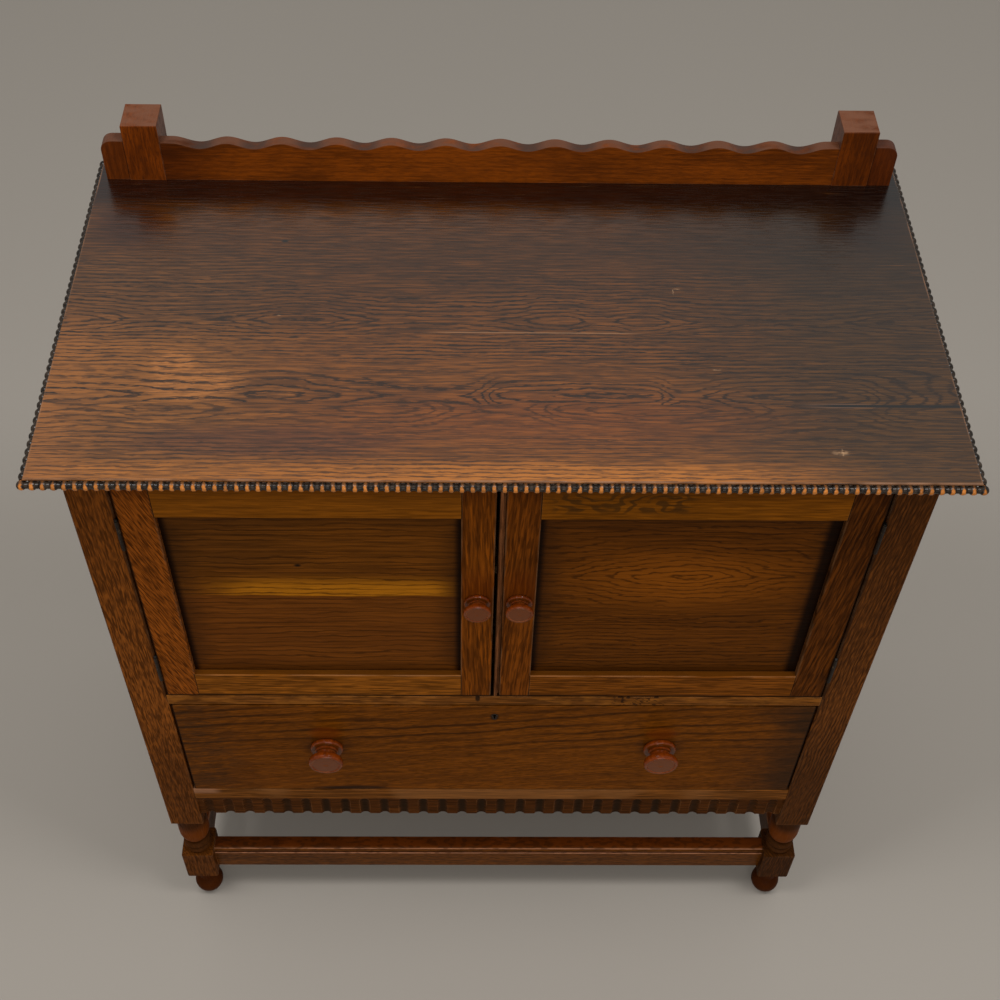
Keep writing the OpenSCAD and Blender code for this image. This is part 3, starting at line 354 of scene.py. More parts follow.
def topMarks(tree, place, axis, grain, colour):
    x, y = axis[0], axis[1]
    # open joint at the right-hand end, closed but for a hair elsewhere
    hair = calc(tree, "ABSOLUTE", calc(tree, "SUBTRACT", y, rearJointY))
    hair = times(tree, less(tree, smooth(tree, hair, 0.0004, 0.0009)), band(tree, x, -0.07, 0.14, 0.02), 0.6)
    colour = mix(tree, hair, colour, (0.30, 0.15, 0.07))
    joint = calc(tree, "ABSOLUTE", calc(tree, "SUBTRACT", y, jointY))
    opened = smooth(tree, x, 0.300, 0.345)
    lips = times(tree, less(tree, smooth(tree, joint, 0.0024, 0.0036)), opened,
                 less(tree, smooth(tree, x, 0.36, 0.40)))
    colour = mix(tree, times(tree, lips, 0.35), colour, (0.24, 0.12, 0.07))
    gap = times(tree, less(tree, smooth(tree, joint, 0.0013, 0.0023)),
                calc(tree, "MAXIMUM", opened, times(tree, less(tree, smooth(tree, x, -0.46, -0.40)), 0.6)))
    colour = mix(tree, gap, colour, (0.004, 0.003, 0.003))
    # thin pinkish line where the arrises are rubbed
    rim = calc(tree, "MINIMUM", calc(tree, "SUBTRACT", y, topFront),
               calc(tree, "SUBTRACT", topSide, calc(tree, "ABSOLUTE", x)))
    rubbed = times(tree, less(tree, smooth(tree, rim, 0.0008, 0.0022)),
                   smooth(tree, noise(tree, place, (24.0, 24.0, 24.0), 3.0), 0.35, 0.70), 0.65)
    colour = mix(tree, rubbed, colour, (0.34, 0.155, 0.070))
    broken = smooth(tree, noise(tree, grain, (170.0, 420.0, 60.0), 2.0, 0.6), 0.36, 0.60)
    for centre, radii, amount in topScratches:
        colour = mix(tree, times(tree, spot(tree, place, centre, radii, 0.7), broken, amount), colour,
                     (0.42, 0.24, 0.12))
    knot = spot(tree, place, *topPatches["knot"], 0.7)
    return mix(tree, knot, colour, (0.008, 0.006, 0.005))


jointY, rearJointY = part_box("top_board_front")[1].y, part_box("top_board_rear")[0].y
topScratches = [
    ((0.190, 0.0253, topZ), (0.0012, 0.006, 1.0), 0.6),
    ((0.194, 0.030, topZ), (0.005, 0.0012, 1.0), 0.6),
    ((0.226, -0.0937, topZ), (0.006, 0.0016, 1.0), 0.6),
    ((0.339, -0.208, topZ), (0.012, 0.0045, 1.0), 0.45),
    ((0.341, -0.208, topZ), (0.008, 0.0014, 1.0), 0.6),
    ((0.341, -0.208, topZ), (0.0014, 0.007, 1.0), 0.6),
    ((-0.243, -0.016, topZ), (0.003, 0.0012, 1.0), 0.6),
]
# Where the heart line wanders, as profile() takes it
rearEyes = [(-480, 0), (-425, 7), (-380, 14), (-330, 12), (-275, 6), (-220, 0), (-165, 7), (-90, 14),
            (-30, 12), (20, 7), (63, 1), (105, 8), (150, 1), (190, 8), (260, 14), (350, 13), (420, 6),
            (480, 0)]
middleEyes = [(-480, 10), (-400, 14), (-300, 20), (-240, 14), (-190, 20), (-80, 30), (-45, 29), (0, 10),
              (60, 5), (150, 5), (190, 19), (215, 16), (265, 5), (335, 4), (400, 20), (480, 46)]
frontEyes = [(-480, 2), (-420, 10), (-360, 4), (-250, 14), (-120, 8), (-20, 26), (70, 8), (160, 2),
             (250, 10), (330, 22), (410, 6), (480, 0)]
dress(wood("topRearOak", topGround, topMarks, lessToRear, **{
    **topWood, "shift": (0.4, 0.0, 0.0), "centre": -0.022, "curl": rearEyes, "reach": 0.07}),
      "top_board_rear")
dress(wood("topMiddleOak", topGround, topMarks, **{
    **topWood, "shift": (-1.3, 0.0, 0.0), "centre": -0.133, "curl": middleEyes}), "top_board_middle")
dress(wood("topFrontOak", topGround, topMarks, **{
    **topWood, "shift": (2.1, 0.0, 0.0), "centre": -0.152, "curl": frontEyes, "lines": 0.70}),
      "top_board_front")
print("top dressed")


# Bobbin moulding: near black in the hollows, rubbed to orange on the crests
def beadMaterial(name, crest, amount):
    material, tree, shader, place = newMaterial(name)
    axis = parts(tree, place)
    low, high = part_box("bead_moulding_front")
    offY = calc(tree, "SUBTRACT", axis[1], (low.y + high.y) / 2)
    offZ = calc(tree, "SUBTRACT", axis[2], (low.z + high.z) / 2)
    out = calc(tree, "SQRT", calc(tree, "ADD", times(tree, offY, offY), times(tree, offZ, offZ)))
    patchy = noise(tree, place, (170.0, 260.0, 260.0), 2.0)
    out = calc(tree, "MULTIPLY_ADD", calc(tree, "MAXIMUM", offZ, 0.0), -0.07, out)
    worn = smooth(tree, calc(tree, "MULTIPLY_ADD", patchy, 0.0010, out), 0.00505, 0.00545)
    below = less(tree, smooth(tree, calc(tree, "MULTIPLY_ADD", patchy, 0.0016, offZ), 0.0046, 0.0068))
    worn = times(tree, worn, below, amount)
    dark = mix(tree, smooth(tree, patchy, 0.35, 0.7), (0.010, 0.007, 0.005), (0.040, 0.026, 0.017))
    bright = mix(tree, smooth(tree, noise(tree, place, (23.0, 23.0, 23.0)), 0.35, 0.65),
                 tuple(c * 0.62 for c in crest), crest)
    wire(shader, "Base Color", mix(tree, worn, dark, bright))
    shader.inputs["Roughness"].default_value = 0.26
    shader.inputs["Specular IOR Level"].default_value = 0.25
    return material


dress(beadMaterial("beadFrontWood", (0.56, 0.185, 0.028), 1.0), "bead_moulding_front")
dress(beadMaterial("beadSideWood", (0.16, 0.07, 0.03), 0.0), "bead_moulding_left", "bead_moulding_right")

# Gallery: red-brown faces, with painted sheen on the upper faces
galleryWood = {
    "tone": (0.148, 0.031, 0.0011), "contrast": (1.40, 0.66, 0.25), "worn": (0.24, 0.11, 0.055),
    "rings": 140.0, "centre": 1.30, "lines": 0.30, "pore": 0.25, "cloud": 0.62, "broad": (7.0, 18.0, 8.0),
    "wear": 0.30, "specular": 0.10, "roughness": (0.28, 0.42),
}
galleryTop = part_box("gallery_board")[1].z


def paintedSheen(sheenTint, sheenAmount):
    def shade(tree, place, axis, grain, below):
        # painted sheen on the faces that look up, in clouds, strongest at the crest
        top = smooth(tree, facing(tree, 2), 0.35, 0.85)
        cloudy = smooth(tree, noise(tree, place, (40.0, 90.0, 40.0), 3.0), 0.1, 0.6)
        crest = smooth(tree, axis[2], galleryTop - 0.0075, galleryTop - 0.0015)
        colour = mix(tree, crest, tuple(c * k for c, k in zip(sheenTint, (0.42, 0.62, 0.85))), sheenTint)
        base = mix(tree, times(tree, top, cloudy, sheenAmount), below, colour)
        # painted sheen: the sides that face each other are paler and greyer than the fronts
        side = smooth(tree, calc(tree, "ABSOLUTE", facing(tree, 0)), 0.7, 0.95)
        return mix(tree, times(tree, side, 0.45), base, (0.105, 0.062, 0.050))
    return shade


def darkLeftEnd(tree, place, axis, grain, colour):
    return mix(tree, less(tree, smooth(tree, axis[0], -0.39, -0.29)), colour, (0.52, 0.48, 0.60), "MULTIPLY")


def darkRight(tree, place, axis, grain, colour):
    return mix(tree, smooth(tree, axis[0], -0.1, 0.1), colour, (0.66, 0.66, 0.58), "MULTIPLY")


def earJoint(tree, place, axis, grain, below):
    below = paintedSheen((0.120, 0.050, 0.028), 0.9)(tree, place, axis, grain, below)
    below = mix(tree, smooth(tree, axis[0], -0.1, 0.1), below, (0.66, 0.60, 0.62), "MULTIPLY")
    seam = calc(tree, "ABSOLUTE", calc(tree, "SUBTRACT", calc(tree, "ABSOLUTE", axis[0]), earInner))
    seam = times(tree, less(tree, smooth(tree, seam, 0.0006, 0.0014)), 0.8)
    return mix(tree, seam, below, (0.008, 0.003, 0.001))


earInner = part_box("gallery_posts")[1].x
dress(wood("galleryOak", darkLeftEnd, paintedSheen((0.120, 0.050, 0.028), 0.9), **galleryWood), "gallery_board")
dress(wood("galleryPostOak", darkRight, paintedSheen((0.160, 0.064, 0.034), 0.9), **{
    **galleryWood, "grain": "upright", "tone": (0.145, 0.028, 0.0010), "shift": (0.7, 0.3, 0.0),
    "pore": 0.4}), "gallery_posts")
dress(wood("galleryEarOak", darkRight, earJoint, **{
    **galleryWood, "grain": "upright", "tone": (0.148, 0.030, 0.0023), "shift": (0.2, 0.1, 0.0)}),
      "gallery_ears")
print("gallery dressed")

# Legs: dense short pores, redder on the turned parts
legWood = {
    "grain": "upright", "tone": (0.15, 0.048, 0.010), "contrast": (1.40, 0.66, 0.22),
    "worn": (0.26, 0.14, 0.07), "rings": 150.0, "centre": 1.2, "lines": 0.35, "streaks": (60.0, 420.0, 200.0),
    "cloud": 0.30, "pores": (54.0, 680.0, 480.0), "pore": 0.70, "wear": 0.25, "sway": 0.03, "specular": 0.03,
    "turned": 0.75,
}


def legShade(tree, place, axis, grain, colour):
    # painted shade under the top, darker towards the bottom, and along the joints with the doors a dark gap
    # line with painted shade
    colour = mix(tree, smooth(tree, axis[2], 0.66, 1.03), colour, (0.70, 0.68, 0.60), "MULTIPLY")
    colour = mix(tree, less(tree, smooth(tree, axis[2], 0.38, 0.58)), colour, (0.58, 0.58, 0.52), "MULTIPLY")
    joint = times(tree, less(tree, smooth(tree, calc(tree, "ABSOLUTE", axis[0]), 0.4104, 0.4130)),
                  smooth(tree, axis[2], 0.57, 0.60),
                  less(tree, smooth(tree, axis[1], caseFront + 0.0015, caseFront + 0.0040)))
    return mix(tree, times(tree, joint, 0.8), colour, (0.010, 0.005, 0.002))


turning = {
    "cup": (0.180, 0.2425), "cupShadow": (0.205, 0.232), "rings": (0.1465, 0.178),
    "blockTop": (0.140, 0.150), "footTop": (0.066, 0.076),
}


def turnedParts(tree, place, axis, grain, colour):
    z = axis[2]
    cup = times(tree, band(tree, z, *turning["cup"], 0.004), 0.80)
    shaded = smooth(tree, z, *turning["cupShadow"])
    colour = mix(tree, cup, colour, mix(tree, shaded, (0.136, 0.029, 0.0014), (0.034, 0.009, 0.0012)))
    ring = band(tree, z, *turning["rings"], 0.003)
    colour = mix(tree, times(tree, ring, 0.8), colour, (0.045, 0.014, 0.003))
    block = less(tree, smooth(tree, z, *turning["blockTop"]))
    colour = mix(tree, block, colour, (0.80, 0.80, 0.86), "MULTIPLY")
    foot = less(tree, smooth(tree, z, *turning["footTop"]))
    return mix(tree, times(tree, foot, 0.85), colour, (0.046, 0.0095, 0.0008))


legs = {
    "front_left_leg": {"shift": (0.0, 0.0, 0.0), "slant": 0.02, "tone": (0.200, 0.056, 0.0060)},
    "front_right_leg": {"shift": (1.7, 0.0, 0.0), "slant": -0.06, "tone": (0.118, 0.035, 0.0050),
                        "lines": 0.75, "rings": 230.0, "bend": 0.016, "pores": (40.0, 680.0, 300.0),
                        "pore": 0.35},
    "rear_left_leg": {"shift": (3.4, 0.0, 0.0), "slant": 0.03},
    "rear_right_leg": {"shift": (5.1, 0.0, 0.0), "slant": -0.03},
}
for name, changes in legs.items():
    dress(wood(name.replace("_", "-") + "-oak", legShade, turnedParts, **{**legWood, **changes}), name)

# Rails, apron and stretchers
railWood = {
    "tone": (0.175, 0.057, 0.0085), "contrast": (1.35, 0.62, 0.16), "worn": (0.34, 0.145, 0.050),
    "rings": 260.0, "streaks": (16.0, 420.0, 160.0), "pores": (34.0, 560.0, 260.0), "lines": 0.40,
    "pore": 0.45, "wear": 0.50,
}


def railMarks(tree, place, axis, grain, colour):
    x = axis[0]
    mottled = smooth(tree, noise(tree, grain, (26.0, 90.0, 60.0), 3.0, 0.6), 0.45, 0.62)
    colour = mix(tree, times(tree, mottled, 0.45), colour, (0.360, 0.125, 0.016))
    nick = spot(tree, place, (-0.022, caseFront, 0.5925), (0.004, 1.0, 0.010), 0.5)
    colour = mix(tree, times(tree, nick, 0.9), colour, (0.012, 0.006, 0.003))
    # painted shade in the gap under the doors, on the rail's upper face
    gap = times(tree, smooth(tree, facing(tree, 2), 0.80, 0.95),
                smooth(tree, axis[1], caseFront + 0.0004, caseFront + 0.0010))
    colour = mix(tree, times(tree, gap, 0.92), colour, (0.006, 0.003, 0.002))
    holes = times(tree, smooth(tree, noise(tree, place, (190.0, 190.0, 300.0), 2.0), 0.55, 0.60),
                  band(tree, x, 0.148, 0.214, 0.008))
    return mix(tree, times(tree, holes, 0.8), colour, (0.014, 0.006, 0.003))


dress(wood("middleRailOak", marks=railMarks, **{**railWood, "shift": (0.3, 0.0, 0.2)}), "middle_rail")


def bottomRailMarks(tree, place, axis, grain, colour):
    x = axis[0]
    pale = times(tree, smooth(tree, noise(tree, place, (6.0, 6.0, 6.0), 2.0), 0.46, 0.56), 0.35)
    colour = mix(tree, pale, colour, (0.30, 0.125, 0.040))
    end = times(tree, less(tree, smooth(tree, x, -0.385, -0.368)), smooth(tree, axis[2], 0.336, 0.344), 0.6)
    colour = mix(tree, end, colour, (0.36, 0.17, 0.09))
    dark = spot(tree, place, (-0.201, caseFront, 0.354), (0.060, 1.0, 0.004), 0.8)
    return mix(tree, times(tree, dark, 0.6), colour, (0.012, 0.007, 0.004))


dress(wood("bottomRailOak", marks=bottomRailMarks, **{**railWood, "shift": (-0.8, 0.1, 0.0)}), "bottom_rail")
dress(wood("topRailOak", **{**railWood, "shift": (1.2, 0.1, 0.0), "wear": 0.0}), "front_top_rail")


def fluteShade(tree, place, axis, grain, colour):
    inside = smooth(tree, axis[1], caseFront + 0.0030, caseFront + 0.0060)
    faint = calc(tree, "MULTIPLY_ADD", smooth(tree, calc(tree, "ABSOLUTE", axis[0]), 0.22, 0.36), -0.35, 0.85)
    return mix(tree, times(tree, inside, faint), colour, (0.016, 0.008, 0.003))


dress(wood("apronOak", marks=fluteShade, **{
    **railWood, "shift": (0.1, 0.0, 0.0), "tone": (0.084, 0.024, 0.0028), "wear": 0.5}), "fluted_apron")
stretcherWood = {
    "tone": (0.108, 0.030, 0.0016), "contrast": (1.35, 0.66, 0.20), "worn": (0.40, 0.19, 0.10),
    "rings": 220.0, "lines": 0.40, "wear": 0.35, "specular": 0.05, "roughness": (0.26, 0.40),
}


def stretcherTop(tree, place, axis, grain, colour):
    up = facing(tree, 2)
    # painted shade on the upper faces
    colour = mix(tree, times(tree, smooth(tree, up, 0.88, 0.98), 0.90), colour, (0.105, 0.021, 0.0018))
    # painted highlight along the crown of the bead
    crownHighlight = band(tree, up, 0.66, 0.80, 0.03)
    return mix(tree, times(tree, crownHighlight, 0.65), colour, (0.44, 0.19, 0.10))


dress(wood("frontStretcherOak", stretcherTop, **{**stretcherWood, "shift": (0.9, 0.0, 0.0)}),
      "front_stretcher", "rear_stretcher")
dress(wood("sideStretcherOak", stretcherTop, **{
    **stretcherWood, "grain": "sideLong", "shift": (0.2, 0.4, 0.0)}), "left_stretcher", "right_stretcher")
print("frame dressed")

# Doors
doorWood = {
    "tone": (0.150, 0.043, 0.0050), "contrast": (1.40, 0.62, 0.18), "worn": (0.28, 0.12, 0.045),
    "rings": 170.0, "streaks": (22.0, 420.0, 160.0), "pores": (44.0, 580.0, 260.0), "lines": 0.35,
    "pore": 0.50, "wear": 0.30,
}


def underTop(tree, place, axis, grain, colour):
    shaded = times(tree, smooth(tree, axis[2], 0.975, 1.010), 0.8)
    return mix(tree, shaded, colour, (0.45, 0.42, 0.40), "MULTIPLY")


# Joints with the rails dark, free arrises rubbed to a greyish brown, a dark gap line with painted
# shade beside the leg on hinge stiles, and a painted reddish reflection of the knob above it
def stileMarks(name):
    low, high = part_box(name)
    door = name.split("_door")[0]
    foot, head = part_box(door + "_door_bottom_rail")[1].z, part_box(door + "_door_top_rail")[0].z
    knobLow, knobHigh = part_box(door + "_door_knob")
    knob = (knobLow + knobHigh) / 2

    def shade(tree, place, axis, grain, colour):
        x, z = axis[0], axis[2]
        # painted reddish reflection of the knob on the wood above it
        red = spot(tree, place, (knob.x, caseFront, knob.z + 0.022), (0.036, 1.0, 0.060), 0.8)
        colour = mix(tree, times(tree, red, 0.45), colour, (0.115, 0.020, 0.0015))
        toPanel, toSide = calc(tree, "SUBTRACT", high.x, x), calc(tree, "SUBTRACT", x, low.x)
        if (low.x + high.x > 0) == ("hinge" in name):
            toPanel, toSide = toSide, toPanel
        railed = less(tree, band(tree, z, foot, head, 0.0005))
        free = calc(tree, "MINIMUM", toPanel, 1.0 if "hinge" in name else toSide)
        rubbed = times(tree, less(tree, smooth(tree, free, 0.0007, 0.0017)),
                       smooth(tree, noise(tree, place, (30.0, 30.0, 22.0), 3.0, 0.6), 0.30, 0.60))
        rubbed = times(tree, rubbed, 0.30 if "hinge" in name else 0.50)
        colour = mix(tree, rubbed, colour, (0.180, 0.095, 0.045))
        dark = calc(tree, "MAXIMUM", times(tree, less(tree, smooth(tree, toPanel, 0.0005, 0.0014)), railed),
                    less(tree, smooth(tree, calc(tree, "SUBTRACT", z, low.z), 0.0018, 0.0036)))
        # on hinge stiles, a dark gap line with painted shade beside the leg
        if "hinge" in name:
            dark = calc(tree, "MAXIMUM", dark, less(tree, smooth(tree, toSide, 0.0010, 0.0024)))
        return mix(tree, times(tree, dark, 0.85), colour, (0.010, 0.005, 0.002))
    return shade


stiles = {
    "left_door_hinge_stile": {"slant": 0.34, "shift": (0.55, 0.0, 0.0), "tone": (0.219, 0.055, 0.0045),
                              "lines": 0.20, "streaks": (50.0, 480.0, 200.0),
                              "pores": (62.0, 640.0, 300.0), "pore": 0.70},
    "left_door_meeting_stile": {"slant": 0.03, "shift": (2.85, 0.0, 0.0), "tone": (0.186, 0.046, 0.0020)},
    "right_door_meeting_stile": {"slant": -0.05, "shift": (1.70, 0.0, 0.0), "tone": (0.146, 0.036, 0.0020)},
    "right_door_hinge_stile": {"slant": -0.10, "shift": (4.00, 0.0, 0.0), "tone": (0.090, 0.0235, 0.0020),
                               "rings": 150.0, "bend": 0.02, "lines": 0.65},
}
for name, changes in stiles.items():
    dress(wood(name.replace("_", "-") + "-oak", underTop, stileMarks(name), **{
        **doorWood, "grain": "upright", **changes}), name)
dress(wood("closingBeadOak", marks=seamShade("closing_bead", "x", 0.0006), **{
    **doorWood, "grain": "upright", "shift": (0.6, 0.0, 0.0), "tone": (0.165, 0.056, 0.018), "wear": 0.6}),
      "closing_bead")


def woundFigure(tree, place, axis, grain, colour):
    x, z = axis[0], axis[2]
    # close dark contours, as where a branch left the trunk
    swirl = calc(tree, "MULTIPLY_ADD", noise(tree, place, (15.0, 9.0, 34.0), 2.0), 9.0, times(tree, z, 40.0))
    turn = calc(tree, "FRACT", swirl)
    line = times(tree, smooth(tree, turn, 0.35, 0.55), less(tree, smooth(tree, turn, 0.75, 0.95)))
    near = times(tree, band(tree, x, 0.055, 0.200, 0.012), band(tree, z, 0.968, 1.00, 0.006))
    return mix(tree, times(tree, line, near, 0.65), colour, (0.030, 0.015, 0.004))


def bottomRailEdges(name):
    low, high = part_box(name)

    def shade(tree, place, axis, grain, colour):
        # ledge in the colour of the panel, rubbed line in front of it, dark foot
        ledge = smooth(tree, facing(tree, 2), 0.80, 0.95)
        colour = mix(tree, times(tree, ledge, 0.85), colour, (0.120, 0.036, 0.0030))
        patchy = smooth(tree, noise(tree, place, (9.0, 9.0, 9.0), 3.0, 0.6), 0.36, 0.58)
        line = less(tree, smooth(tree, calc(tree, "SUBTRACT", high.z, axis[2]), 0.0006, 0.0018))
        colour = mix(tree, times(tree, line, less(tree, ledge), patchy, 0.50), colour, (0.360, 0.160, 0.060))
        foot = less(tree, smooth(tree, calc(tree, "SUBTRACT", axis[2], low.z), 0.0020, 0.0038))
        return mix(tree, times(tree, foot, 0.85), colour, (0.008, 0.004, 0.002))
    return shade


rails = {
    "left_door_top_rail": {"shift": (0.2, 0.0, 0.0), "tone": (0.212, 0.064, 0.0030), "lines": 0.10,
                           "pore": 0.30, "contrast": (1.22, 0.80, 0.3)},
    "right_door_top_rail": {"shift": (1.4, 0.0, 0.0), "tone": (0.216, 0.065, 0.0025), "lines": 0.15,
                            "pore": 0.35, "contrast": (1.25, 0.78, 0.25)},
    "left_door_bottom_rail": {"shift": (0.55, 0.0, 0.0), "tone": (0.252, 0.077, 0.0060), "wear": 0.55},
    "right_door_bottom_rail": {"shift": (-0.6, 0.0, 0.0), "tone": (0.187, 0.053, 0.0040), "wear": 0.55},
}
for name, changes in rails.items():
    if "bottom" in name:
        shade = bottomRailEdges(name)
    else:
        shade = seamShade(name, "z", after=woundFigure if "right" in name else None)
    dress(wood(name.replace("_", "-") + "-oak", underTop, shade, **{**doorWood, **changes}), name)
panelWood = {
    "tone": (0.165, 0.050, 0.0060), "contrast": (1.28, 0.72, 0.24), "rings": 100.0, "lines": 0.72,
    "pore": 0.22, "pores": (26.0, 480.0, 260.0), "streaks": (12.0, 380.0, 160.0), "early": (0.58, 0.76),
    "wear": 0.0, "cloud": 0.35, "broad": (1.8, 14.0, 6.0), "wobble": 0.45,
    "bend": 0.022, "roughness": (0.34, 0.46),
}


# What the grooves of stiles and rails hide of a panel, and what shows as its foot
panelHidden, panelFoot = 0.007, 0.002


def panelShade(name, extra=None, deep=0.0):
    low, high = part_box(name)

    def shade(tree, place, axis, grain, colour):
        if extra:
            colour = extra(tree, place, axis, grain, colour)
        near = calc(tree, "SUBTRACT", axis[0], low.x + panelHidden)
        toHigh = calc(tree, "SUBTRACT", high.x - panelHidden, axis[0])
        for inward in (toHigh, calc(tree, "SUBTRACT", axis[2], low.z + panelFoot),
                       calc(tree, "SUBTRACT", high.z - panelHidden, axis[2])):
            near = calc(tree, "MINIMUM", near, inward)
        shadow = less(tree, smooth(tree, near, 0.0, 0.040))
        colour = mix(tree, times(tree, shadow, 0.55), colour, (0.022, 0.008, 0.002))
        # dirt and painted shade in the corners along the panel's edges
        grimeAndShade = times(tree, less(tree, smooth(tree, near, 0.002, 0.010)), 0.85)
        # the stile on the hinge side of the right door throws a hard black shadow
        thrown = times(tree, less(tree, smooth(tree, toHigh, 0.009, 0.019)), deep)
        return mix(tree, calc(tree, "MAXIMUM", grimeAndShade, thrown), colour, (0.003, 0.0012, 0.0005))
    return shade


def yellowStreak(tree, place, axis, grain, colour):
    x, z = axis[0], axis[2]
    edge = calc(tree, "ADD", z, ripple(tree, grain, (9.0, 60.0, 20.0), 0.012))
    lit = times(tree, smooth(tree, x, -0.35, -0.27), smooth(tree, edge, 0.8010, 0.8045),
                less(tree, smooth(tree, edge, 0.816, 0.846)), less(tree, smooth(tree, x, -0.075, -0.035)))
    colour = mix(tree, times(tree, lit, 0.88), colour, (0.45, 0.155, 0.005))
    left = times(tree, less(tree, smooth(tree, x, -0.30, -0.16)), smooth(tree, z, 0.845, 0.87))
    colour = mix(tree, times(tree, left, 0.35), colour, (0.06, 0.022, 0.004))
    redder = less(tree, smooth(tree, edge, 0.8000, 0.8025))
    return mix(tree, times(tree, redder, 0.40), colour, (0.150, 0.038, 0.0050))


def smallKnot(tree, place, axis, grain, colour):
    knot = spot(tree, place, (-0.225, caseFront, 0.861), (0.006, 1.0, 0.004), 0.8)
    return mix(tree, knot, colour, (0.014, 0.007, 0.003))


def warmHeart(tree, place, axis, grain, colour):
    glow = spot(tree, place, (0.205, caseFront, 0.835), (0.20, 1.0, 0.085), 0.95)
    return mix(tree, times(tree, glow, 0.65), colour, (0.310, 0.084, 0.0040))


rightEyes = [(-480, 0), (0, 30), (60, 30), (105, 24), (150, 12), (190, 3), (213, 0), (240, 4), (280, 14),
             (330, 26), (400, 30), (480, 30)]
dress(wood("leftPanelOak", yellowStreak, panelShade("left_door_panel", smallKnot), **{
    **panelWood, "centre": 0.60, "tone": (0.142, 0.042, 0.0030)}), "left_door_panel")
dress(wood("rightPanelOak", warmHeart, panelShade("right_door_panel", deep=0.9), **{
    **panelWood, "shift": (-0.9, 0.0, 0.0), "centre": 0.842, "eye": 0.004, "curl": rightEyes, "reach": 0.10,
    "tone": (0.108, 0.030, 0.0020), "rings": 130.0, "bend": 0.028, "wobble": 0.8}), "right_door_panel")
print("doors dressed")

# Drawer: golden front with long dark lines, stained dark at its ends
drawerWood = {
    "tone": (0.150, 0.041, 0.0015), "contrast": (1.25, 0.74, 0.18), "rings": 50.0, "lines": 0.78,
    "early": (0.52, 0.72), "centre": 0.28,
    "slant": -0.10, "sway": 0.045, "bend": 0.016, "wobble": 0.35, "pore": 0.35, "wear": 0.25, "cloud": 0.40,
    "broad": (2.5, 14.0, 6.0), "worn": (0.26, 0.12, 0.04), "specular": 0.02, "roughness": (0.30, 0.44),
}


def drawerFade(tree, axis):
    return calc(tree, "MULTIPLY_ADD", smooth(tree, axis[2], 0.44, 0.50), 0.70, 0.30)


drawerMarks = {
    "spill": (-0.19, 0.357), "knobX": 0.218, "knobZ": 0.472, "knobReflectionZ": 0.505, "keyZ": 0.547,
    "leftStain": (-0.405, -0.290), "rightStain": (0.30, 0.42),
}


def drawerShade(tree, place, axis, grain, colour):
    x = axis[0]
    cloud = ripple(tree, place, (12.0, 9.0, 22.0), 0.14)
    leftStain = less(tree, smooth(tree, calc(tree, "ADD", x, cloud), *drawerMarks["leftStain"]))
    mottled = smooth(tree, noise(tree, grain, (30.0, 160.0, 60.0), 3.0, 0.7), 0.36, 0.62)
    colour = mix(tree, times(tree, leftStain, mottled, 0.58), colour, (0.020, 0.012, 0.006))
    rightStain = smooth(tree, calc(tree, "ADD", x, cloud), *drawerMarks["rightStain"])
    colour = mix(tree, times(tree, rightStain, 0.78), colour, (0.018, 0.010, 0.005))
    spillX, spillZ = drawerMarks["spill"]
    spill = spot(tree, place, (spillX, caseFront, spillZ), (0.07, 1.0, 0.007), 0.6)
    colour = mix(tree, times(tree, spill, 0.8), colour, (0.010, 0.006, 0.004))
    for side in (-1, 1):
        # the wood round each knob is darker, with a painted reddish reflection of the knob above it
        knobX = side * drawerMarks["knobX"]
        halo = spot(tree, place, (knobX, caseFront, drawerMarks["knobZ"]), (0.042, 1.0, 0.038), 0.6)
        colour = mix(tree, times(tree, halo, 0.45), colour, (0.050, 0.015, 0.003))
        knobReflection = spot(tree, place, (knobX, caseFront, drawerMarks["knobReflectionZ"]), (0.026, 1.0, 0.020), 0.5)
        colour = mix(tree, times(tree, knobReflection, 0.42), colour, (0.170, 0.030, 0.003))
    ring = spot(tree, place, (0.0, caseFront, drawerMarks["keyZ"]), (0.0075, 1.0, 0.0105), 0.5)
    return mix(tree, times(tree, ring, 0.8), colour, (0.010, 0.006, 0.003))


dress(wood("drawerFrontOak", marks=seamShade("drawer_front", "xZ", 0.0007, after=drawerShade), fade=drawerFade,
           **drawerWood), "drawer_front")

# Turned knobs, polished red-brown, with a darker face
knobWood = {
    "grain": "sideLong", "tone": (0.180, 0.030, 0.0015), "contrast": (1.2, 0.8, 0.4),
    "worn": (0.50, 0.19, 0.065), "rings": 300.0, "lines": 0.25, "pore": 0.30, "wear": 0.30, "specular": 0.24,
    "roughness": (0.06, 0.12),
}


def knobFace(tree, place, axis, grain, colour):
    flat = less(tree, smooth(tree, facing(tree, 1), -0.98, -0.90))
    return mix(tree, times(tree, flat, 0.8), colour, (0.120, 0.029, 0.0020))


dress(wood("knobWood", marks=knobFace, **knobWood), "left_door_knob", "right_door_knob", "drawer_knobs")

# Inside and back: pale unpolished oak
innerWood = {
    "tone": (0.25, 0.150, 0.070), "contrast": (1.25, 0.75, 0.45), "worn": (0.38, 0.25, 0.14), "lines": 0.5,
    "pore": 0.4, "wear": 0.2, "specular": 0.3, "roughness": (0.55, 0.70), "rings": 160.0,
}
dress(wood("innerFlatOak", **{**innerWood, "grain": "flat"}), "cupboard_floor", "shelf", "drawer_bottom")
dress(wood("innerLongOak", **{**innerWood, "grain": "sideLong", "centre": 0.9}),
      "shelf_bearers", "drawer_runners", "drawer_left_side", "drawer_right_side")
dress(wood("innerAcrossOak", **{**innerWood, "shift": (0.4, 0.0, 0.0), "centre": 0.8}),
      "drawer_back", "door_stops")
backWood = {**innerWood, "tone": (0.115, 0.056, 0.026), "contrast": (1.3, 0.7, 0.35)}
backBoard = {"start": -0.41, "width": 0.137}
dress(wood("backRailOak", **{**backWood, "centre": 1.3}), "rear_top_rail", "rear_bottom_rail")


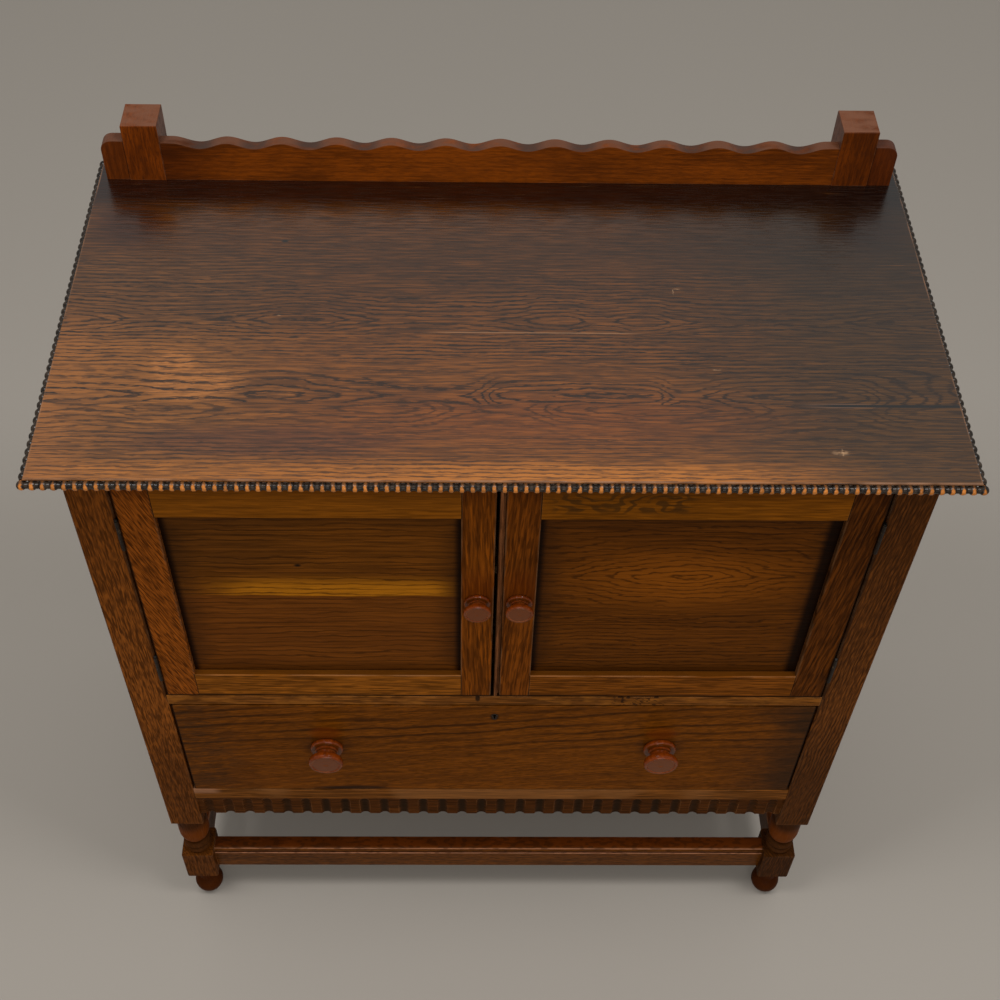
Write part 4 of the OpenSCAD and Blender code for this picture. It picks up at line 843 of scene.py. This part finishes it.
def backBoards(tree, place, axis, grain, colour):
    fromStart = calc(tree, "ADD", axis[0], -backBoard["start"])
    strip = calc(tree, "FRACT", times(tree, fromStart, 1 / backBoard["width"]))
    near = calc(tree, "MINIMUM", strip, less(tree, strip))
    return mix(tree, less(tree, smooth(tree, near, 0.004, 0.012)), colour, (0.012, 0.007, 0.004))


dress(wood("backPanelOak", marks=backBoards, **{**backWood, "grain": "upright"}), "rear_panel")
sideWood = {**legWood, "specular": 0.04, "turned": 0.0}
dress(wood("sideRailOak", **{**sideWood, "grain": "sideLong", "centre": 1.4, "wear": 0.5}),
      "left_top_rail", "right_top_rail", "left_bottom_rail", "right_bottom_rail")
dress(wood("sidePanelOak", **{
    **sideWood, "grain": "sideUpright", "centre": 0.03, "rings": 120.0, "pore": 0.35, "lines": 0.6,
    "wear": 0.0, "bend": 0.03}), "left_side_panel", "right_side_panel")
print("inside dressed")


# Metal: tarnished brass hinges, dull steel pins and lock
def metal(name, dark, bright, roughness, cover):
    material, tree, shader, place = newMaterial(name)
    field = noise(tree, place, (180.0, 180.0, 120.0), 4.0, 0.65)
    wire(shader, "Base Color", mix(tree, smooth(tree, field, cover - 0.12, cover + 0.12), bright, dark))
    wire(shader, "Roughness", calc(tree, "MULTIPLY_ADD", field, 0.3, roughness))
    shader.inputs["Metallic"].default_value = 0.85
    return material


brass = metal("tarnishedBrass", (0.022, 0.014, 0.009), (0.20, 0.13, 0.06), 0.28, 0.30)
steel = metal("dullSteel", (0.05, 0.045, 0.04), (0.30, 0.28, 0.26), 0.28, 0.35)
rubbedBrass = metal("rubbedBrass", (0.10, 0.075, 0.030), (0.42, 0.33, 0.14), 0.22, 0.50)
dress(brass, "hinge_frame_leaves", "left_door_hinge_leaves", "right_door_hinge_leaves")
dress(steel, "hinge_pins", "drawer_lock")
dress(rubbedBrass, "lock_bolt")


def addPiece(name, shape, body, finish):
    data = bpy.data.meshes.new(name)
    shape.normal_update()
    shape.to_mesh(data)
    shape.free()
    piece = bpy.data.objects.new(name, data)
    bpy.context.scene.collection.objects.link(piece)
    data.materials.append(finish)
    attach(piece, body)
    return piece


# Countersunk slotted screws in the hinge leaves, seen when a door is open
screws = {
    "radius": 0.0029, "slot": 0.0008, "proud": 0.00007, "sunk": 0.0005, "steps": 10,
    "inFromFront": (0.0055, 0.0112, 0.0055), "apart": 0.0175, "turns": (0.3, 1.2, 2.1, 0.8, 2.7, 1.6),
    "leafGap": 0.0002, "edge": 0.00006, "leafMiddle": 0.0262, "pinToLeaf": 0.0016,
}


def addScrew(shape, x, toward, y, z, turn):
    half = math.asin(screws["slot"] / 2 / screws["radius"])
    for side in (0, 1):
        start = turn + side * math.pi + half
        sweep = math.pi - 2 * half
        rim = [start + sweep * i / screws["steps"] for i in range(screws["steps"] + 1)]
        verts = [shape.verts.new((x - toward * screws["sunk"], y + screws["radius"] * math.cos(a),
                                  z + screws["radius"] * math.sin(a))) for a in rim]
        face = shape.faces.new(verts)
        raised = bmesh.ops.extrude_face_region(shape, geom=[face])["geom"]
        moved = [v for v in raised if isinstance(v, bmesh.types.BMVert)]
        bmesh.ops.translate(shape, verts=moved, vec=(toward * (screws["sunk"] + screws["proud"]), 0.0, 0.0))
        edges = {e for v in moved for e in v.link_edges if all(w in moved for w in e.verts)}
        bmesh.ops.bevel(shape, geom=list(edges), offset=screws["edge"], affect="EDGES", segments=1,
                        profile=0.5, material=-1)


pinLow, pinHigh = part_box("hinge_pins")
hingeX = (pinHigh.x - pinLow.x) / 2 - screws["pinToLeaf"]
hingeHeights = (pinLow.z + screws["leafMiddle"], pinHigh.z - screws["leafMiddle"])
for which, body in (("frame", "carcass"), ("left", "left_door"), ("right", "right_door")):
    shape = bmesh.new()
    count = 0
    for side in ((-1, 1) if which == "frame" else ((-1,) if which == "left" else (1,))):
        toward = -side if which == "frame" else side
        faceX = side * hingeX - toward * screws["leafGap"] / 2
        for height in hingeHeights:
            for i, inFrom in enumerate(screws["inFromFront"]):
                addScrew(shape, faceX, toward, caseFront + inFrom, height + (i - 1) * screws["apart"],
                         screws["turns"][count % len(screws["turns"])])
                count += 1
    bmesh.ops.recalc_face_normals(shape, faces=shape.faces)
    addPiece(f"hinge_screws_{which}", shape, body, rubbedBrass)
print("hinge screws added")

# Thread escutcheon: a brass lining of the keyhole with a narrow rim on the face
escutcheon = {
    "roundZ": 0.550, "radius": 0.0027, "slotHalf": 0.00135, "slotEnd": 0.542, "lining": 0.0005, "rim": 0.0013,
    "proud": 0.0003, "deep": 0.0035, "steps": 22, "seat": 0.0004, "edge": 0.00012,
}


def keyholeLoop(shape, grow, y):
    radius, half = escutcheon["radius"] + grow, escutcheon["slotHalf"] + grow
    start = math.asin(half / radius)
    sweep = 2 * math.pi - 2 * start
    points = [(radius * math.sin(start + sweep * i / escutcheon["steps"]),
               escutcheon["roundZ"] - radius * math.cos(start + sweep * i / escutcheon["steps"]))
              for i in range(escutcheon["steps"] + 1)]
    foot = escutcheon["slotEnd"] - grow
    points += [(-half, foot + half * 0.5), (-half * 0.6, foot), (half * 0.6, foot), (half, foot + half * 0.5)]
    verts = [shape.verts.new((x, y, z)) for x, z in points]
    return [shape.edges.new(pair) for pair in zip(verts, verts[1:] + verts[:1])]


shape = bmesh.new()
lining, rim = -escutcheon["lining"], escutcheon["rim"]
loops = [keyholeLoop(shape, lining, caseFront + escutcheon["deep"]),
         keyholeLoop(shape, lining, caseFront - escutcheon["proud"]),
         keyholeLoop(shape, rim, caseFront - escutcheon["proud"]),
         keyholeLoop(shape, rim, caseFront + escutcheon["seat"]),
         keyholeLoop(shape, 0.0, caseFront + escutcheon["seat"]),
         keyholeLoop(shape, 0.0, caseFront + escutcheon["deep"])]
for a, b in zip(loops, loops[1:] + loops[:1]):
    bmesh.ops.bridge_loops(shape, edges=a + b)
bmesh.ops.recalc_face_normals(shape, faces=shape.faces)
bmesh.ops.bevel(shape, geom=loops[1] + loops[2], offset=escutcheon["edge"], affect="EDGES", segments=2,
                profile=0.5, material=-1)
addPiece("keyhole_escutcheon", shape, "drawer", brass)
print("escutcheon added")


# Camera where the photograph was taken from
camera = bpy.data.objects.new("camera", bpy.data.cameras.new("camera"))
bpy.context.scene.collection.objects.link(camera)
view = {"place": (-0.0403, -1.1649, 2.1857), "pitch": 0.8650, "yaw": -0.0225, "roll": 0.0228,
        "focal": 1467.33, "shiftX": 0.0142, "shiftY": -0.0469}
ahead = Vector((-math.sin(view["yaw"]) * math.cos(view["pitch"]),
                math.cos(view["yaw"]) * math.cos(view["pitch"]), -math.sin(view["pitch"])))
right = Vector((math.cos(view["yaw"]), math.sin(view["yaw"]), 0.0))
up = right.cross(ahead)
cosRoll, sinRoll = math.cos(view["roll"]), math.sin(view["roll"])
right, up = cosRoll * right + sinRoll * up, cosRoll * up - sinRoll * right
camera.matrix_world = Matrix.Translation(view["place"]) @ Matrix((right, up, -ahead)).transposed().to_4x4()
camera.data.sensor_width = 36.0
camera.data.lens = view["focal"] / 1000 * camera.data.sensor_width
camera.data.shift_x = view["shiftX"]
camera.data.shift_y = view["shiftY"]
bpy.context.scene.camera = camera

# Pale floor and soft light
studio = {
    "floorHalf": 30.0, "floorColour": (0.39, 0.350, 0.305, 1.0), "floorRoughness": 0.8,
    "sky": (0.88, 0.88, 0.86, 1.0), "skyStrength": 0.50,
}
overhead = {"target": (0.0, -0.1, 0.9), "size": (0.8, 0.8), "power": 26.0}
lamps = {
    "overheadLeft": {**overhead, "place": (-0.95, -0.55, 3.3)},
    "overheadRight": {**overhead, "place": (0.95, -0.55, 3.3)},
    "frontFill": {"target": (0.0, 0.0, 0.5), "size": (2.0, 1.6), "power": 22.0, "place": (0.2, -3.4, 1.6)},
}
floorMesh = bmesh.new()
bmesh.ops.create_grid(floorMesh, x_segments=1, y_segments=1, size=studio["floorHalf"])
floorData = bpy.data.meshes.new("floor")
floorMesh.to_mesh(floorData)
floorMesh.free()
floor = bpy.data.objects.new("floor", floorData)
bpy.context.scene.collection.objects.link(floor)
floorPaint = bpy.data.materials.new("floorPaint")
floorPaint.use_nodes = True
floorShader = floorPaint.node_tree.nodes["Principled BSDF"]
floorShader.inputs["Base Color"].default_value = studio["floorColour"]
floorShader.inputs["Roughness"].default_value = studio["floorRoughness"]
floorData.materials.append(floorPaint)

world = bpy.data.worlds.new("studio")
bpy.context.scene.world = world
world.use_nodes = True
world.node_tree.nodes["Background"].inputs["Color"].default_value = studio["sky"]
world.node_tree.nodes["Background"].inputs["Strength"].default_value = studio["skyStrength"]


def softLight(name, place, target, size, power):
    data = bpy.data.lights.new(name, "AREA")
    data.shape = "RECTANGLE"
    data.size, data.size_y = size
    data.energy = power
    lamp = bpy.data.objects.new(name, data)
    lamp.location = place
    lamp.rotation_euler = (Vector(target) - Vector(place)).to_track_quat("-Z", "Y").to_euler()
    bpy.context.scene.collection.objects.link(lamp)


for name, lamp in lamps.items():
    softLight(name, **lamp)
bpy.context.scene.view_settings.view_transform = "Standard"
print("stage and light set")
